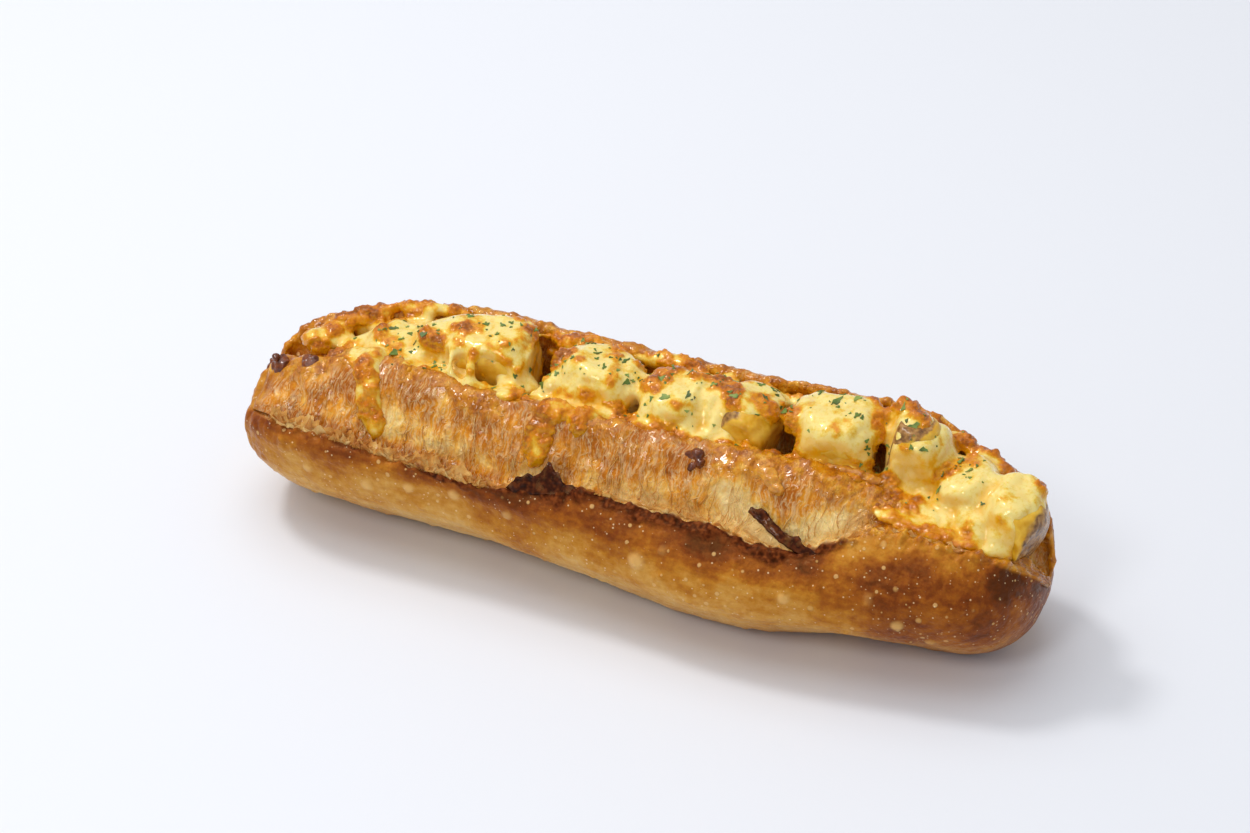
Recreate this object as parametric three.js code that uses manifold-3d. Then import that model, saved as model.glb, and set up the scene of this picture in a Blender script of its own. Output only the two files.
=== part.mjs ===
// A short baguette, split along its top, filled with chunks of skin-on potato under melted
// cheese, and sprinkled with dried parsley. Millimetres, +Z up. X runs along the loaf, -Y is the
// side with the raised ear of crust, and the origin is the middle of the footprint.
import * as THREE from "three";
import Module from "manifold-3d";

const wasm = await Module();
wasm.setup();

// ---- driving dimensions -------------------------------------------------------------------

const LEFT_TIP = { x: -102.5, y: -5, z: 21, capStart: -82 };
const RIGHT_TIP = { x: 97, y: 4, z: 19, capStart: 74 };
const CAP_ROUNDNESS = 2.3; // 2 is an ellipse, more is a blunter end
const SLICES = 40; // cross-sections along the loaf
const POINTS_PER_RAIL = 2; // outline points for each rail of a cross-section
const BUNCHING = 0.45; // how much closer together the cross-sections lie near the tips, 0 is evenly

const TOUCH_GAP = 0.4; // what separates pieces that rest on each other
const CHEESE_THICKNESS = 2.4;
const CHEESE_EDGE = 0.9; // thickness where the sheet of cheese ends
const FLAKE_THICKNESS = 0.4;

const COLOURS = {
  crust: 0xb5732e,
  flesh: 0xe3c35c,
  cheese: 0xeecb6a,
  burnt: 0x4a1c0c,
  parsley: 0x4d6b2c,
};

// The loaf's rails: lines that run along it, in the order in which a cross-section meets them,
// from the middle of the base round the front crust, over the split, and down the back.
// Each is a list of [x, y, z], and the loaf is smooth between them.
const RAILS = [
  [[0, 2, 0]], // middle of the base
  [[0, -3, 0]],
  [[-84, -6, 0], [-50, -7, 0], [-17, -8.5, 0], [6, -13, 0], [24, -14.5, 0], [36, -13, 0], [56, -6.5, 0],
    [78, -4.5, 0]], // front edge of the base
  [[-84, -15, 7], [-50, -16, 7], [-17, -18, 7], [6, -21.5, 7], [24, -23, 7], [36, -22, 7], [56, -16, 7],
    [78, -13, 7]],
  [[-80, -23, 16], [-16, -26, 16], [22, -30, 16], [50, -26, 16], [78, -21, 16]], // front belly
  [[-80, -25, 25], [-16, -26.5, 24], [22, -29.5, 24], [50, -27, 24], [78, -22.5, 26]],
  [[-80, -25, 29], [-30, -26, 28], [20, -26, 29.5], [46, -24.5, 29], [62, -20, 33], [78, -18, 34]],
  [[-84, -23, 31.5], [-30, -24.5, 30], [-14, -21.5, 33], [20, -21, 33], [42, -21, 31], [62, -14.5, 37.5],
    [78, -13.5, 37.5]], // the ear's edge
  [[-84, -21, 31], [-30, -21, 28.5], [20, -17.5, 30], [42, -18, 28.5], [62, -10, 37], [78, -10, 36.5]],
  [[-84, -17, 35.5], [-20, -16.5, 35.5], [20, -15, 36], [44, -15, 35.5], [62, -8, 38], [78, -8, 36.5]],
  [[-84, -12, 40], [-70, -12, 42.5], [20, -11, 43], [44, -10, 42.5], [62, -6, 39], [78, -6, 36]], // crown
  [[-84, -7, 41], [-74, -3.5, 43.5], [-40, -7, 44], [20, -5, 44], [44, -3.5, 43.5], [62, -3, 39],
    [78, -4, 35]], // front lip of the split
  [[-84, -4, 37], [-60, -2, 35], [44, -1, 35], [62, 0, 33], [78, -1, 30]],
  [[-84, -1, 33], [-60, 1, 28], [44, 2, 26], [78, 2, 26]], // floor of the split
  [[-84, 4, 33], [-60, 12, 28], [44, 13, 26], [78, 11, 26]],
  [[-84, 7, 37], [-60, 17, 36], [44, 18, 35], [78, 16, 31]],
  [[-84, 8, 41.5], [-66, 17, 44.5], [0, 19, 44.5], [62, 20, 45], [78, 18.5, 38]], // back lip
  [[-84, 11, 43], [-66, 20, 46], [0, 21.5, 46], [62, 22, 46.5], [78, 21, 39]],
  [[-84, 16, 39], [-60, 25, 40], [0, 26.5, 40], [62, 27, 40], [78, 25, 34]],
  [[-84, 19, 28], [-60, 28, 29], [0, 30, 29], [62, 29.5, 29], [78, 27, 26]],
  [[-84, 18, 15], [-60, 28, 15], [0, 30, 15], [62, 29.5, 15], [78, 26, 15]], // back belly
  [[-84, 13, 5], [-60, 23, 5], [0, 25.5, 5], [62, 25, 5], [78, 21, 5]],
  [[-84, 6, 0], [-60, 14, 0], [0, 17, 0], [62, 16, 0], [78, 12, 0]], // back edge of the base
];

// Chunks of potato, left to right: middle, half sizes, and how the cut faces are turned.
const POTATOES = [
  { at: [-68, 4, 38.5], half: [10, 8, 7.5], turn: [0.1, 0.1, 0.2] },
  { at: [-45, 5.5, 41.5], half: [13, 9, 10.5], turn: [0.05, -0.05, 0.12] },
  { at: [-16, 5.5, 41.5], half: [12, 9, 10.5], turn: [-0.1, 0.1, -0.2] },
  { at: [4.5, 4.5, 41.5], half: [8.5, 9.5, 10], turn: [0.1, -0.15, 0.3] },
  { at: [22, 5, 41.5], half: [8, 9.5, 10.5], turn: [-0.1, 0.2, -0.15] },
  { at: [43.5, 6, 42], half: [10, 9.5, 10.5], turn: [0.1, 0.05, 0.15] },
  { at: [61.5, 9, 43.5], half: [7, 8.5, 11.5], turn: [-0.1, 0.1, 0.1] },
  { at: [76, 5.5, 38], half: [6.5, 9, 8], turn: [0, -0.15, -0.2] },
  { at: [89.5, 1.5, 37], half: [6.5, 10, 9.5], turn: [0.05, 0.28, -0.3] },
];
const POTATO_TRIM = 0.78; // cut faces stand at this share of the half size

// Where the sheet of cheese ends: [x, front y, back y]. The far -Y places are drips.
const CHEESE_EDGES = [
  [-86, -3, 5], [-79, -5, 11], [-70, -5.5, 16], [-66, -9, 17], [-61.5, -19, 18], [-56.5, -10, 18],
  [-47, -10, 18], [-36, -6.5, 18], [-25, -8, 18.5], [-20, -17.5, 18.5], [-14, -9, 18.5], [0, -7.5, 19.5],
  [17, -7, 19.5], [31, -8.5, 19.5], [44, -5, 20], [56, -6, 20], [62, -13, 20], [74, -14, 19], [84, -12.5, 15],
  [91, -9, 8],
];
const CHEESE_GRID = { along: 52, across: 10 };

// Beads of cheese that ran over the left end and burnt: [x, y, length, width, turn].
const BURNT_BEADS = [
  [-93.5, -7.5, 6.5, 3.6, 0.9],
  [-85.5, -8, 5.5, 4.2, 1.1],
  [-97.5, -6, 4, 3.2, 0.3],
];
const BEAD_HEIGHT = 0.6; // share of a bead's width
const BEAD_LIFT = 0.2; // share of its height that its middle stands above the crust

// Flakes of dried parsley: [x, y, length, width, turn].
const FLAKES = [
  [-71, 5, 2.2, 1.1, 0.4], [-67, 2, 1.8, 1.2, 1.9], [-66, -3, 4.2, 2.4, 2.6], [-64, 6, 2.0, 1.2, 1.2],
  [-62, 9, 1.6, 1.0, 0.3], [-60, 1, 2.6, 1.6, 0.9], [-57, 12, 2.8, 0.8, 2.2], [-55, -4, 2.6, 2.0, 1.5],
  [-52, 10, 2.0, 1.0, 0.2], [-47, 8, 2.4, 0.9, 0.1], [-43, 9, 2.2, 1.2, 2.9], [-40, -2, 1.8, 1.2, 0.7],
  [-36, 12, 2.0, 1.0, 1.4], [-30, 4, 2.4, 1.4, 2.4], [-28, -1, 2.8, 2.0, 1.2], [-25, 1, 2.2, 1.4, 1.0],
  [-22, 12, 2.6, 1.2, 0.5], [-18, 8, 2.2, 1.6, 0.9], [-14, 3, 3.2, 1.8, 2.3], [-11, 9, 2.0, 1.0, 0.1],
  [-8, 2, 2.4, 1.6, 1.8], [-4, 12, 2.2, 1.6, 2.7], [0, 5, 2.8, 1.6, 0.6], [3, -1, 3.0, 1.4, 0.2],
  [6, 9, 3.0, 1.2, 2.5], [8, 1, 2.4, 1.8, 1.3], [12, 7, 3.4, 1.0, 0.4], [16, 12, 4.2, 2.4, 2.9],
  [19, 3, 2.6, 1.6, 0.8], [22, 12, 2.2, 1.4, 1.7], [25, 7, 2.6, 1.6, 0.5], [28, 13, 3.8, 2.4, 0.9],
  [31, 4, 2.6, 1.6, 2.1], [37, 11, 2.4, 1.2, 0.4], [42, 9, 4.0, 1.4, 1.1], [46, 12, 3.4, 1.2, 2.2],
  [48, 6, 3.0, 1.6, 2.8], [52, 2, 2.0, 1.2, 0.3], [57, 12, 3.0, 1.8, 0.5], [61, 7, 3.4, 2.4, 1.2],
  [65, 3, 2.4, 1.2, 1.9], [72, 8, 3.0, 1.2, 0.6], [76, 5, 2.2, 1.4, 2.4], [70, 0, 2.6, 1.4, 0.2],
];
const FLAKE_POINTS = 5; // corners of a flake's outline
const FLAKE_NOTCH = 0.75; // how far out every second corner stands, as on a torn scrap of leaf

// ---- the loaf -----------------------------------------------------------------------------

// Smooth interpolation in a list of [x, ...values]: a cubic through the points, level past them.
function along(keys, x) {
  if (x <= keys[0][0]) return keys[0].slice(1);
  const last = keys.length - 1;
  if (x >= keys[last][0]) return keys[last].slice(1);
  const i = keys.findIndex((key) => key[0] > x) - 1;
  const slope = (j, c) => {
    const a = keys[Math.max(j - 1, 0)];
    const b = keys[Math.min(j + 1, last)];
    return (b[c] - a[c]) / (b[0] - a[0]);
  };
  const [from, to] = [keys[i], keys[i + 1]];
  const h = to[0] - from[0];
  const t = (x - from[0]) / h;
  return from.slice(1).map((value, k) => {
    const c = k + 1;
    const start = (2 * t ** 3 - 3 * t ** 2 + 1) * value + (t ** 3 - 2 * t ** 2 + t) * h * slope(i, c);
    const end = (3 * t ** 2 - 2 * t ** 3) * to[c] + (t ** 3 - t ** 2) * h * slope(i + 1, c);
    return start + end;
  });
}

// The outline of the loaf's cross-section at x, a closed curve in the Y-Z plane.
function sliceAt(x) {
  const tip = x < 0 ? LEFT_TIP : RIGHT_TIP;
  const past = Math.min(Math.max((x - tip.capStart) / (tip.x - tip.capStart), 0), 1);
  const shrink = (1 - past ** CAP_ROUNDNESS) ** (1 / CAP_ROUNDNESS);
  const corners = RAILS.map((rail) => {
    const [y, z] = along(rail, x);
    return new THREE.Vector3(0, tip.y + (y - tip.y) * shrink, tip.z + (z - tip.z) * shrink);
  });
  return new THREE.CatmullRomCurve3(corners, true, "catmullrom", 0.5);
}

// A sphere whose rings become the loaf's cross-sections and whose poles become its two tips.
function loafGeometry() {
  const around = RAILS.length * POINTS_PER_RAIL;
  const geometry = new THREE.SphereGeometry(1, around, SLICES);
  const position = geometry.attributes.position;
  const slices = new Map();
  for (let i = 0; i < position.count; i++) {
    const row = Math.floor(i / (around + 1));
    const column = i % (around + 1);
    const angle = (Math.PI * row) / SLICES;
    const bunched = (1 - Math.cos(angle)) / 2;
    const share = BUNCHING * bunched + (1 - BUNCHING) * (row / SLICES);
    const x = THREE.MathUtils.lerp(LEFT_TIP.x, RIGHT_TIP.x, share);
    if (!slices.has(row)) slices.set(row, sliceAt(x));
    const point = slices.get(row).getPoint((column % around) / around);
    position.setXYZ(i, x, point.y, Math.max(point.z, 0));
  }
  return geometry;
}

// ---- solids -------------------------------------------------------------------------------

// The closed solid of a geometry, and a geometry from a solid.
function solid(geometry) {
  const source = geometry.index ? geometry.toNonIndexed() : geometry;
  const position = source.attributes.position;
  const numbers = new Map();
  const vertices = [];
  const triangles = [];
  for (let i = 0; i < position.count; i++) {
    const point = [position.getX(i), position.getY(i), position.getZ(i)];
    const key = point.map((value) => Math.round(value * 1e4)).join();
    if (!numbers.has(key)) {
      numbers.set(key, vertices.length / 3);
      vertices.push(...point);
    }
    triangles.push(numbers.get(key));
  }
  const kept = [];
  for (let i = 0; i < triangles.length; i += 3) {
    const [a, b, c] = triangles.slice(i, i + 3);
    if (a !== b && b !== c && c !== a) kept.push(a, b, c);
  }
  return new wasm.Manifold(
    new wasm.Mesh({
      numProp: 3,
      vertProperties: new Float32Array(vertices),
      triVerts: new Uint32Array(kept),
    }),
  );
}

function geometryOf(manifold) {
  const mesh = manifold.getMesh();
  const geometry = new THREE.BufferGeometry();
  geometry.setAttribute("position", new THREE.BufferAttribute(mesh.vertProperties, 3));
  geometry.setIndex(new THREE.BufferAttribute(mesh.triVerts, 1));
  return geometry;
}

// What is left of a solid, largest body only, when neighbours and a gap round them are cut away.
function clearOf(piece, neighbours) {
  const shifts = [[1, 0, 0], [-1, 0, 0], [0, 1, 0], [0, -1, 0], [0, 0, 1], [0, 0, -1]];
  let left = piece;
  for (const neighbour of neighbours) {
    for (const shift of shifts) {
      left = left.subtract(neighbour.translate(shift.map((value) => value * TOUCH_GAP)));
    }
  }
  return left.decompose().sort((a, b) => b.volume() - a.volume())[0];
}

// ---- pieces -------------------------------------------------------------------------------

const group = new THREE.Group();

function addMesh(name, geometry, colour, roughness) {
  geometry.computeVertexNormals();
  const material = new THREE.MeshStandardMaterial({ color: colour, roughness, metalness: 0 });
  const mesh = new THREE.Mesh(geometry, material);
  mesh.name = name;
  group.add(mesh);
  return mesh;
}

// The highest surface of the given meshes over a point of the plan, and its normal.
function landing(x, y, meshes) {
  const skyHigh = 200;
  const ray = new THREE.Raycaster(new THREE.Vector3(x, y, skyHigh), new THREE.Vector3(0, 0, -1));
  const [hit] = ray.intersectObjects(meshes);
  return hit ? { z: hit.point.z, normal: hit.face.normal } : null;
}

const loafSolid = solid(loafGeometry());
const bread = addMesh("bread", geometryOf(loafSolid), COLOURS.crust, 0.6);

// A potato chunk is an egg-shaped tuber trimmed by flat cuts, and the bread gives way to it.
function potatoSolid({ at, half, turn }) {
  const tuber = new THREE.SphereGeometry(1, 12, 8).scale(...half);
  const cuts = new THREE.BoxGeometry(...half.map((value) => 2 * value * POTATO_TRIM));
  cuts.applyMatrix4(new THREE.Matrix4().makeRotationFromEuler(new THREE.Euler(...turn)));
  const chunk = solid(tuber).intersect(solid(cuts)).translate(at);
  return clearOf(chunk, [loafSolid]);
}

const potatoSolids = POTATOES.map(potatoSolid);
const potatoes = potatoSolids.map((chunk, i) =>
  addMesh(`potato_chunk_${i + 1}`, geometryOf(chunk), COLOURS.flesh, 0.5),
);

// The melted cheese: a sheet laid over the chunks and the lips of the split. It is a flat slab cut
// into cells; each corner stands clear of everything within a cell of it, so cells never dip into
// what they bridge.
function cheeseGeometry() {
  const { along: cellsAlong, across } = CHEESE_GRID;
  const geometry = new THREE.BoxGeometry(1, 1, 1, cellsAlong, across, 1);
  const position = geometry.attributes.position;
  const start = CHEESE_EDGES[0][0];
  const end = CHEESE_EDGES[CHEESE_EDGES.length - 1][0];
  const reachAlong = (end - start) / cellsAlong;
  const tops = new Map();
  const topAt = (x, y) => {
    const key = `${Math.round(x)} ${Math.round(y)}`;
    if (!tops.has(key)) tops.set(key, landing(Math.round(x), Math.round(y), [bread, ...potatoes])?.z ?? 0);
    return tops.get(key);
  };
  for (let i = 0; i < position.count; i++) {
    const u = position.getX(i) + 0.5;
    const v = position.getY(i) + 0.5;
    const x = THREE.MathUtils.lerp(start, end, u);
    const [front, back] = along(CHEESE_EDGES, x);
    const y = THREE.MathUtils.lerp(front, back, v);
    const reachAcross = (back - front) / across;
    let height = 0;
    for (let dx = -reachAlong; dx < reachAlong + 1; dx += 1) {
      for (let dy = -reachAcross; dy < reachAcross + 1; dy += 1) {
        height = Math.max(height, topAt(x + dx, y + dy));
      }
    }
    const middle = Math.sin(Math.PI * v) ** 0.5 * Math.sin(Math.PI * u) ** 0.3;
    const thickness = position.getZ(i) > 0 ? CHEESE_EDGE + (CHEESE_THICKNESS - CHEESE_EDGE) * middle : 0;
    position.setXYZ(i, x, y, height + TOUCH_GAP + thickness);
  }
  return geometry;
}

const cheeseSolid = clearOf(solid(cheeseGeometry()), [loafSolid, ...potatoSolids]);
const cheese = addMesh("melted_cheese", geometryOf(cheeseSolid), COLOURS.cheese, 0.35);

// Puts a small piece on what lies under it, turned about the surface's normal.
function restOn(geometry, x, y, turn, meshes, halfHeight) {
  const place = landing(x, y, meshes);
  const tilt = new THREE.Quaternion().setFromUnitVectors(new THREE.Vector3(0, 0, 1), place.normal);
  const spin = new THREE.Quaternion().setFromAxisAngle(new THREE.Vector3(0, 0, 1), turn);
  const centre = new THREE.Vector3(x, y, place.z);
  centre.addScaledVector(place.normal, halfHeight + TOUCH_GAP);
  geometry.applyQuaternion(tilt.multiply(spin));
  geometry.translate(centre.x, centre.y, centre.z);
  return geometry;
}

BURNT_BEADS.forEach(([x, y, length, width, turn], i) => {
  const height = BEAD_HEIGHT * width;
  const drop = new THREE.SphereGeometry(0.5, 8, 6).scale(length, width, height);
  restOn(drop, x, y, turn, [bread], BEAD_LIFT * height);
  addMesh(`burnt_cheese_${i + 1}`, geometryOf(clearOf(solid(drop), [loafSolid])), COLOURS.burnt, 0.25);
});

FLAKES.forEach(([x, y, length, width, turn], i) => {
  const outline = new THREE.Shape();
  for (let k = 0; k < FLAKE_POINTS; k++) {
    const angle = (2 * Math.PI * k) / FLAKE_POINTS;
    const ragged = k % 2 ? FLAKE_NOTCH : 1;
    const corner = [0.5 * length * ragged * Math.cos(angle), 0.5 * width * ragged * Math.sin(angle)];
    if (k) outline.lineTo(...corner);
    else outline.moveTo(...corner);
  }
  outline.closePath();
  const flake = new THREE.ExtrudeGeometry(outline, { depth: FLAKE_THICKNESS, bevelEnabled: false });
  flake.translate(0, 0, -FLAKE_THICKNESS / 2);
  restOn(flake, x, y, turn, [bread, cheese, ...potatoes], FLAKE_THICKNESS / 2);
  const clear = clearOf(solid(flake), [cheeseSolid, loafSolid, ...potatoSolids]);
  const number = String(i + 1).padStart(2, "0");
  addMesh(`parsley_flake_${number}`, geometryOf(clear), COLOURS.parsley, 0.8);
});

// The origin is the middle of the footprint.
const bounds = new THREE.Box3().setFromObject(group);
const middle = bounds.getCenter(new THREE.Vector3());
group.position.set(-middle.x, -middle.y, 0);

export default group;
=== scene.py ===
"""A short baguette, split along its top and filled with potato under melted, browned cheese.

The loaf's shape repeats the rails of the CAD model, in millimetres, and everything on the loaf is
placed on it by two numbers: x along the loaf, and s, which counts the rails round a cross-section.
"""

import math
import random

import bmesh
import bpy
import numpy as np
from mathutils import Matrix, Vector, noise
from mathutils.bvhtree import BVHTree
from mathutils.kdtree import KDTree


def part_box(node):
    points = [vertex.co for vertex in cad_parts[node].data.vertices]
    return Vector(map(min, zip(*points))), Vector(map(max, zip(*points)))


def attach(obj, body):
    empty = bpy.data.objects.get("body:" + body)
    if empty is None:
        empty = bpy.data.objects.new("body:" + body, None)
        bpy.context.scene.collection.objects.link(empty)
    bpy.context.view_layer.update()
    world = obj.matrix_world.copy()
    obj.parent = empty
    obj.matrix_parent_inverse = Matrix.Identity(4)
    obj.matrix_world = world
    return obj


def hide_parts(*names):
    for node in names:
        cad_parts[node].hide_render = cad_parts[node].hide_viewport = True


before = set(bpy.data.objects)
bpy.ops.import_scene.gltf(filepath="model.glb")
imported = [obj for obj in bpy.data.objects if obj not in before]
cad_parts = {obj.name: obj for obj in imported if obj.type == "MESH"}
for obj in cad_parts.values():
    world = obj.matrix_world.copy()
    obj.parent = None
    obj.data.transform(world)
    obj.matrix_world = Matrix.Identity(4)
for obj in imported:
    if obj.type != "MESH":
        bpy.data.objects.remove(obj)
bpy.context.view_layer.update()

MM = 0.001
NOISE_SEED = 5
noise.seed_set(NOISE_SEED)  # without it, the clock seeds noise_vector

# ---- the loaf's shape ---------------------------------------------------------------------

LEFT_TIP = {"x": -102.5, "y": -5, "z": 21, "cap": -82}
RIGHT_TIP = {"x": 97, "y": 4, "z": 19, "cap": 74}
CAP_ROUNDNESS = 2.3

# (points round the loaf up to the next rail, [(x, y, z), ...]) for each rail of a cross-section
RAILS = [
    (2, [(0, 2, 0)]),  # 0 middle of the base
    (2, [(0, -3, 0)]),
    (4, [(-84, -6, 0), (-50, -7, 0), (-17, -8.5, 0), (6, -13, 0), (24, -14.5, 0), (36, -13, 0),
         (56, -6.5, 0), (78, -4.5, 0)]),  # 2 front edge of the base
    (20, [(-84, -15, 7), (-50, -16, 7), (-17, -18, 7), (6, -21.5, 7), (24, -23, 7), (36, -22, 7),
          (56, -16, 7), (78, -13, 7)]),
    (16, [(-80, -23, 16), (-16, -26, 16), (22, -30, 16), (50, -26, 16), (78, -21, 16)]),  # 4 belly
    (8, [(-80, -25, 25), (-16, -26.5, 24), (22, -29.5, 24), (50, -27, 24), (78, -22.5, 26)]),
    (8, [(-80, -25, 29), (-30, -26, 28), (20, -26, 29.5), (46, -24.5, 29), (62, -20, 33),
         (78, -18, 34)]),
    (7, [(-84, -23, 31.5), (-30, -24.5, 30), (-14, -21.5, 33), (20, -21, 33), (42, -21, 31),
         (62, -14.5, 37.5), (78, -13.5, 37.5)]),  # 7 the ear's edge
    (19, [(-84, -21, 31), (-30, -21, 28.5), (20, -17.5, 30), (42, -18, 28.5), (62, -10, 37),
          (78, -10, 36.5)]),  # 8 valley behind the ear
    (18, [(-84, -17, 35.5), (-20, -16.5, 35.5), (20, -15, 36), (44, -15, 35.5), (62, -8, 38),
          (78, -8, 36.5)]),  # 9 the torn face that the loaf opened to
    (10, [(-84, -12, 40), (-70, -12, 42.5), (20, -11, 43), (44, -10, 42.5), (62, -6, 39),
         (78, -6, 36)]),  # 10 crown
    (9, [(-84, -7, 41), (-74, -3.5, 43.5), (-40, -7, 44), (20, -5, 44), (44, -3.5, 43.5),
         (62, -3, 39), (78, -4, 35)]),  # 11 front lip of the split
    (5, [(-84, -4, 37), (-60, -2, 35), (44, -1, 35), (62, 0, 33), (78, -1, 30)]),
    (3, [(-84, -1, 33), (-60, 1, 28), (44, 2, 26), (78, 2, 26)]),  # 13 floor of the split
    (4, [(-84, 4, 33), (-60, 12, 28), (44, 13, 26), (78, 11, 26)]),
    (7, [(-84, 7, 37), (-60, 17, 36), (44, 18, 35), (78, 16, 31)]),
    (6, [(-84, 8, 41.5), (-66, 17, 44.5), (0, 19, 44.5), (62, 20, 45), (78, 18.5, 38)]),  # 16 back lip
    (8, [(-84, 11, 43), (-66, 20, 46), (0, 21.5, 46), (62, 22, 46.5), (78, 21, 39)]),
    (8, [(-84, 16, 39), (-60, 25, 40), (0, 26.5, 40), (62, 27, 40), (78, 25, 34)]),
    (8, [(-84, 19, 28), (-60, 28, 29), (0, 30, 29), (62, 29.5, 29), (78, 27, 26)]),
    (6, [(-84, 18, 15), (-60, 28, 15), (0, 30, 15), (62, 29.5, 15), (78, 26, 15)]),  # 20 back belly
    (4, [(-84, 13, 5), (-60, 23, 5), (0, 25.5, 5), (62, 25, 5), (78, 21, 5)]),
    (3, [(-84, 6, 0), (-60, 14, 0), (0, 17, 0), (62, 16, 0), (78, 12, 0)]),  # 22 back edge of the base
]
VALLEY, CROWN = 8, 10  # rails
STATIONS = 520  # cross-sections along the loaf
RING_POINTS = 231  # places round the loaf at which its girth is measured


def smooth(low, high, value):
    """0 below low, 1 above high, and a smooth step between. high may be the lower one."""
    t = np.clip((value - low) / (high - low), 0, 1)
    return t * t * (3 - 2 * t)


def band(value, start, full, fading, end):
    """0 outside start and end, 1 from full to fading, and a smooth step between."""
    return smooth(start, full, value) * smooth(end, fading, value)


def between(a, b, c, d, f):
    """The place a share f of the way from b to c, on a smooth line through all four."""
    return 0.5 * (2 * b + (c - a) * f + (2 * a - 5 * b + 4 * c - d) * f**2
                  + (3 * b - a - 3 * c + d) * f**3)


def along(keys, x):
    """A smooth line through the keys, at every x: an array of (y, z)."""
    keys = np.array(keys, float)
    if len(keys) == 1:
        return np.repeat(keys[:, 1:], len(x), axis=0)
    x = np.clip(x, keys[0, 0], keys[-1, 0])
    slopes = (np.roll(keys, -1, 0) - np.roll(keys, 1, 0))[:, 1:]
    slopes[0] = (keys[1] - keys[0])[1:]
    slopes[-1] = (keys[-1] - keys[-2])[1:]
    spans = np.roll(keys[:, 0], -1) - np.roll(keys[:, 0], 1)
    spans[0] = keys[1, 0] - keys[0, 0]
    spans[-1] = keys[-1, 0] - keys[-2, 0]
    slopes /= spans[:, None]
    i = np.clip(np.searchsorted(keys[:, 0], x, "right") - 1, 0, len(keys) - 2)
    h = (keys[i + 1, 0] - keys[i, 0])[:, None]
    t = (x - keys[i, 0])[:, None] / h
    start = (2 * t**3 - 3 * t**2 + 1) * keys[i, 1:] + (t**3 - 2 * t**2 + t) * h * slopes[i]
    end = (3 * t**2 - 2 * t**3) * keys[i + 1, 1:] + (t**3 - t**2) * h * slopes[i + 1]
    return start + end


def loaf_points(x, s):
    """Points of the loaf at arrays x and s, in millimetres, as an array of (x, y, z)."""
    x, s = np.broadcast_arrays(*(np.atleast_1d(np.asarray(value, float)) for value in (x, s)))
    tip = {k: np.where(x < 0, LEFT_TIP[k], RIGHT_TIP[k]) for k in LEFT_TIP}
    past = np.clip((x - tip["cap"]) / (tip["x"] - tip["cap"]), 0, 1)
    shrink = (1 - past**CAP_ROUNDNESS) ** (1 / CAP_ROUNDNESS)
    centre = np.stack([tip["y"], tip["z"]], axis=1)
    rails = np.stack([along(keys, x) for _, keys in RAILS], axis=1)
    rails = centre[:, None] + (rails - centre[:, None]) * shrink[:, None, None]
    span = np.floor(s).astype(int)
    row = np.arange(len(x))
    near = (rails[row, (span + k) % len(RAILS)] for k in (-1, 0, 1, 2))
    yz = between(*near, (s - span)[:, None])
    return np.column_stack([x, yz[:, 0], np.maximum(yz[:, 1], 0)])


# ---- helpers ------------------------------------------------------------------------------


def patches(points, size, seed):
    """Smooth noise from -1 to 1 at points in millimetres, with features of about that size."""
    offset = Vector((seed * 17.3, seed * 5.1, seed * 11.7))
    return np.array([noise.noise(Vector(p) / size + offset) for p in points])


def ridges(points, size, seed):
    """Thin ridges that wind and fork, from 0 between them to 1 on top."""
    return smooth(0.3, 0, np.abs(patches(points, size, seed)))


def bubbles(points, size, seed):
    """Froth: domes of about that size in millimetres, from 0 between them to 1 on top."""
    offset = Vector((seed * 3.7, seed * 9.1, seed * 1.3))
    nearest = np.array([noise.voronoi(Vector(p) / size + offset)[0][0] for p in points])
    return np.clip(1 - (nearest / 0.62) ** 2, 0, 1)


def read(items, field, width=1, kind=np.float32):
    """One field of every item, in a flat array."""
    flat = np.empty(len(items) * width, kind)
    items.foreach_get(field, flat)
    return flat


def coordinates(mesh):
    return read(mesh.vertices, "co", 3).reshape(-1, 3).astype(float) / MM


def normals(mesh):
    return read(mesh.vertex_normals, "vector", 3).reshape(-1, 3).astype(float)


def set_coordinates(mesh, points):
    mesh.vertices.foreach_set("co", (points * MM).astype(np.float32).ravel())
    mesh.update()


def raise_surface(mesh, heights):
    """Moves each vertex out along its normal by its height, in millimetres."""
    set_coordinates(mesh, coordinates(mesh) + normals(mesh) * heights[:, None])


def paint(mesh, name, values):
    """A number at each vertex, which a material reads as an attribute."""
    layer = mesh.attributes.new(name, "FLOAT", "POINT")
    layer.data.foreach_set("value", np.asarray(values, np.float32))


def mesh_of(bm, name, scale=1):
    """What bm holds, scaled, as a mesh. It ends bm."""
    bmesh.ops.scale(bm, vec=(scale,) * 3, verts=bm.verts)
    mesh = bpy.data.meshes.new(name)
    bm.to_mesh(mesh)
    bm.free()
    return mesh


def placed(name, data):
    """An object in the scene that holds the data."""
    made = bpy.data.objects.new(name, data)
    bpy.context.scene.collection.objects.link(made)
    return made


def shape_of(holder):
    """The mesh that an object's curve or modifiers give. It removes the object."""
    shaped = holder.evaluated_get(bpy.context.evaluated_depsgraph_get())
    mesh = bpy.data.meshes.new_from_object(shaped)
    bpy.data.objects.remove(holder)
    return mesh


def remeshed(mesh, voxel, rounds):
    """The mesh's solid rebuilt in even faces of that size in millimetres, then smoothed."""
    holder = placed("remesh", mesh)
    rebuild = holder.modifiers.new("rebuild", "REMESH")
    rebuild.mode = "VOXEL"
    rebuild.voxel_size = voxel * MM
    soften = holder.modifiers.new("soften", "SMOOTH")
    soften.factor = 0.5
    soften.iterations = rounds
    made = shape_of(holder)
    made.name = mesh.name
    return made


def merged_copy(node):
    """A copy of a CAD node's mesh with its corners joined."""
    bm = bmesh.new()
    bm.from_mesh(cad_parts[node].data)
    bmesh.ops.remove_doubles(bm, verts=bm.verts, dist=0.01 * MM)
    return mesh_of(bm, node)


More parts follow.
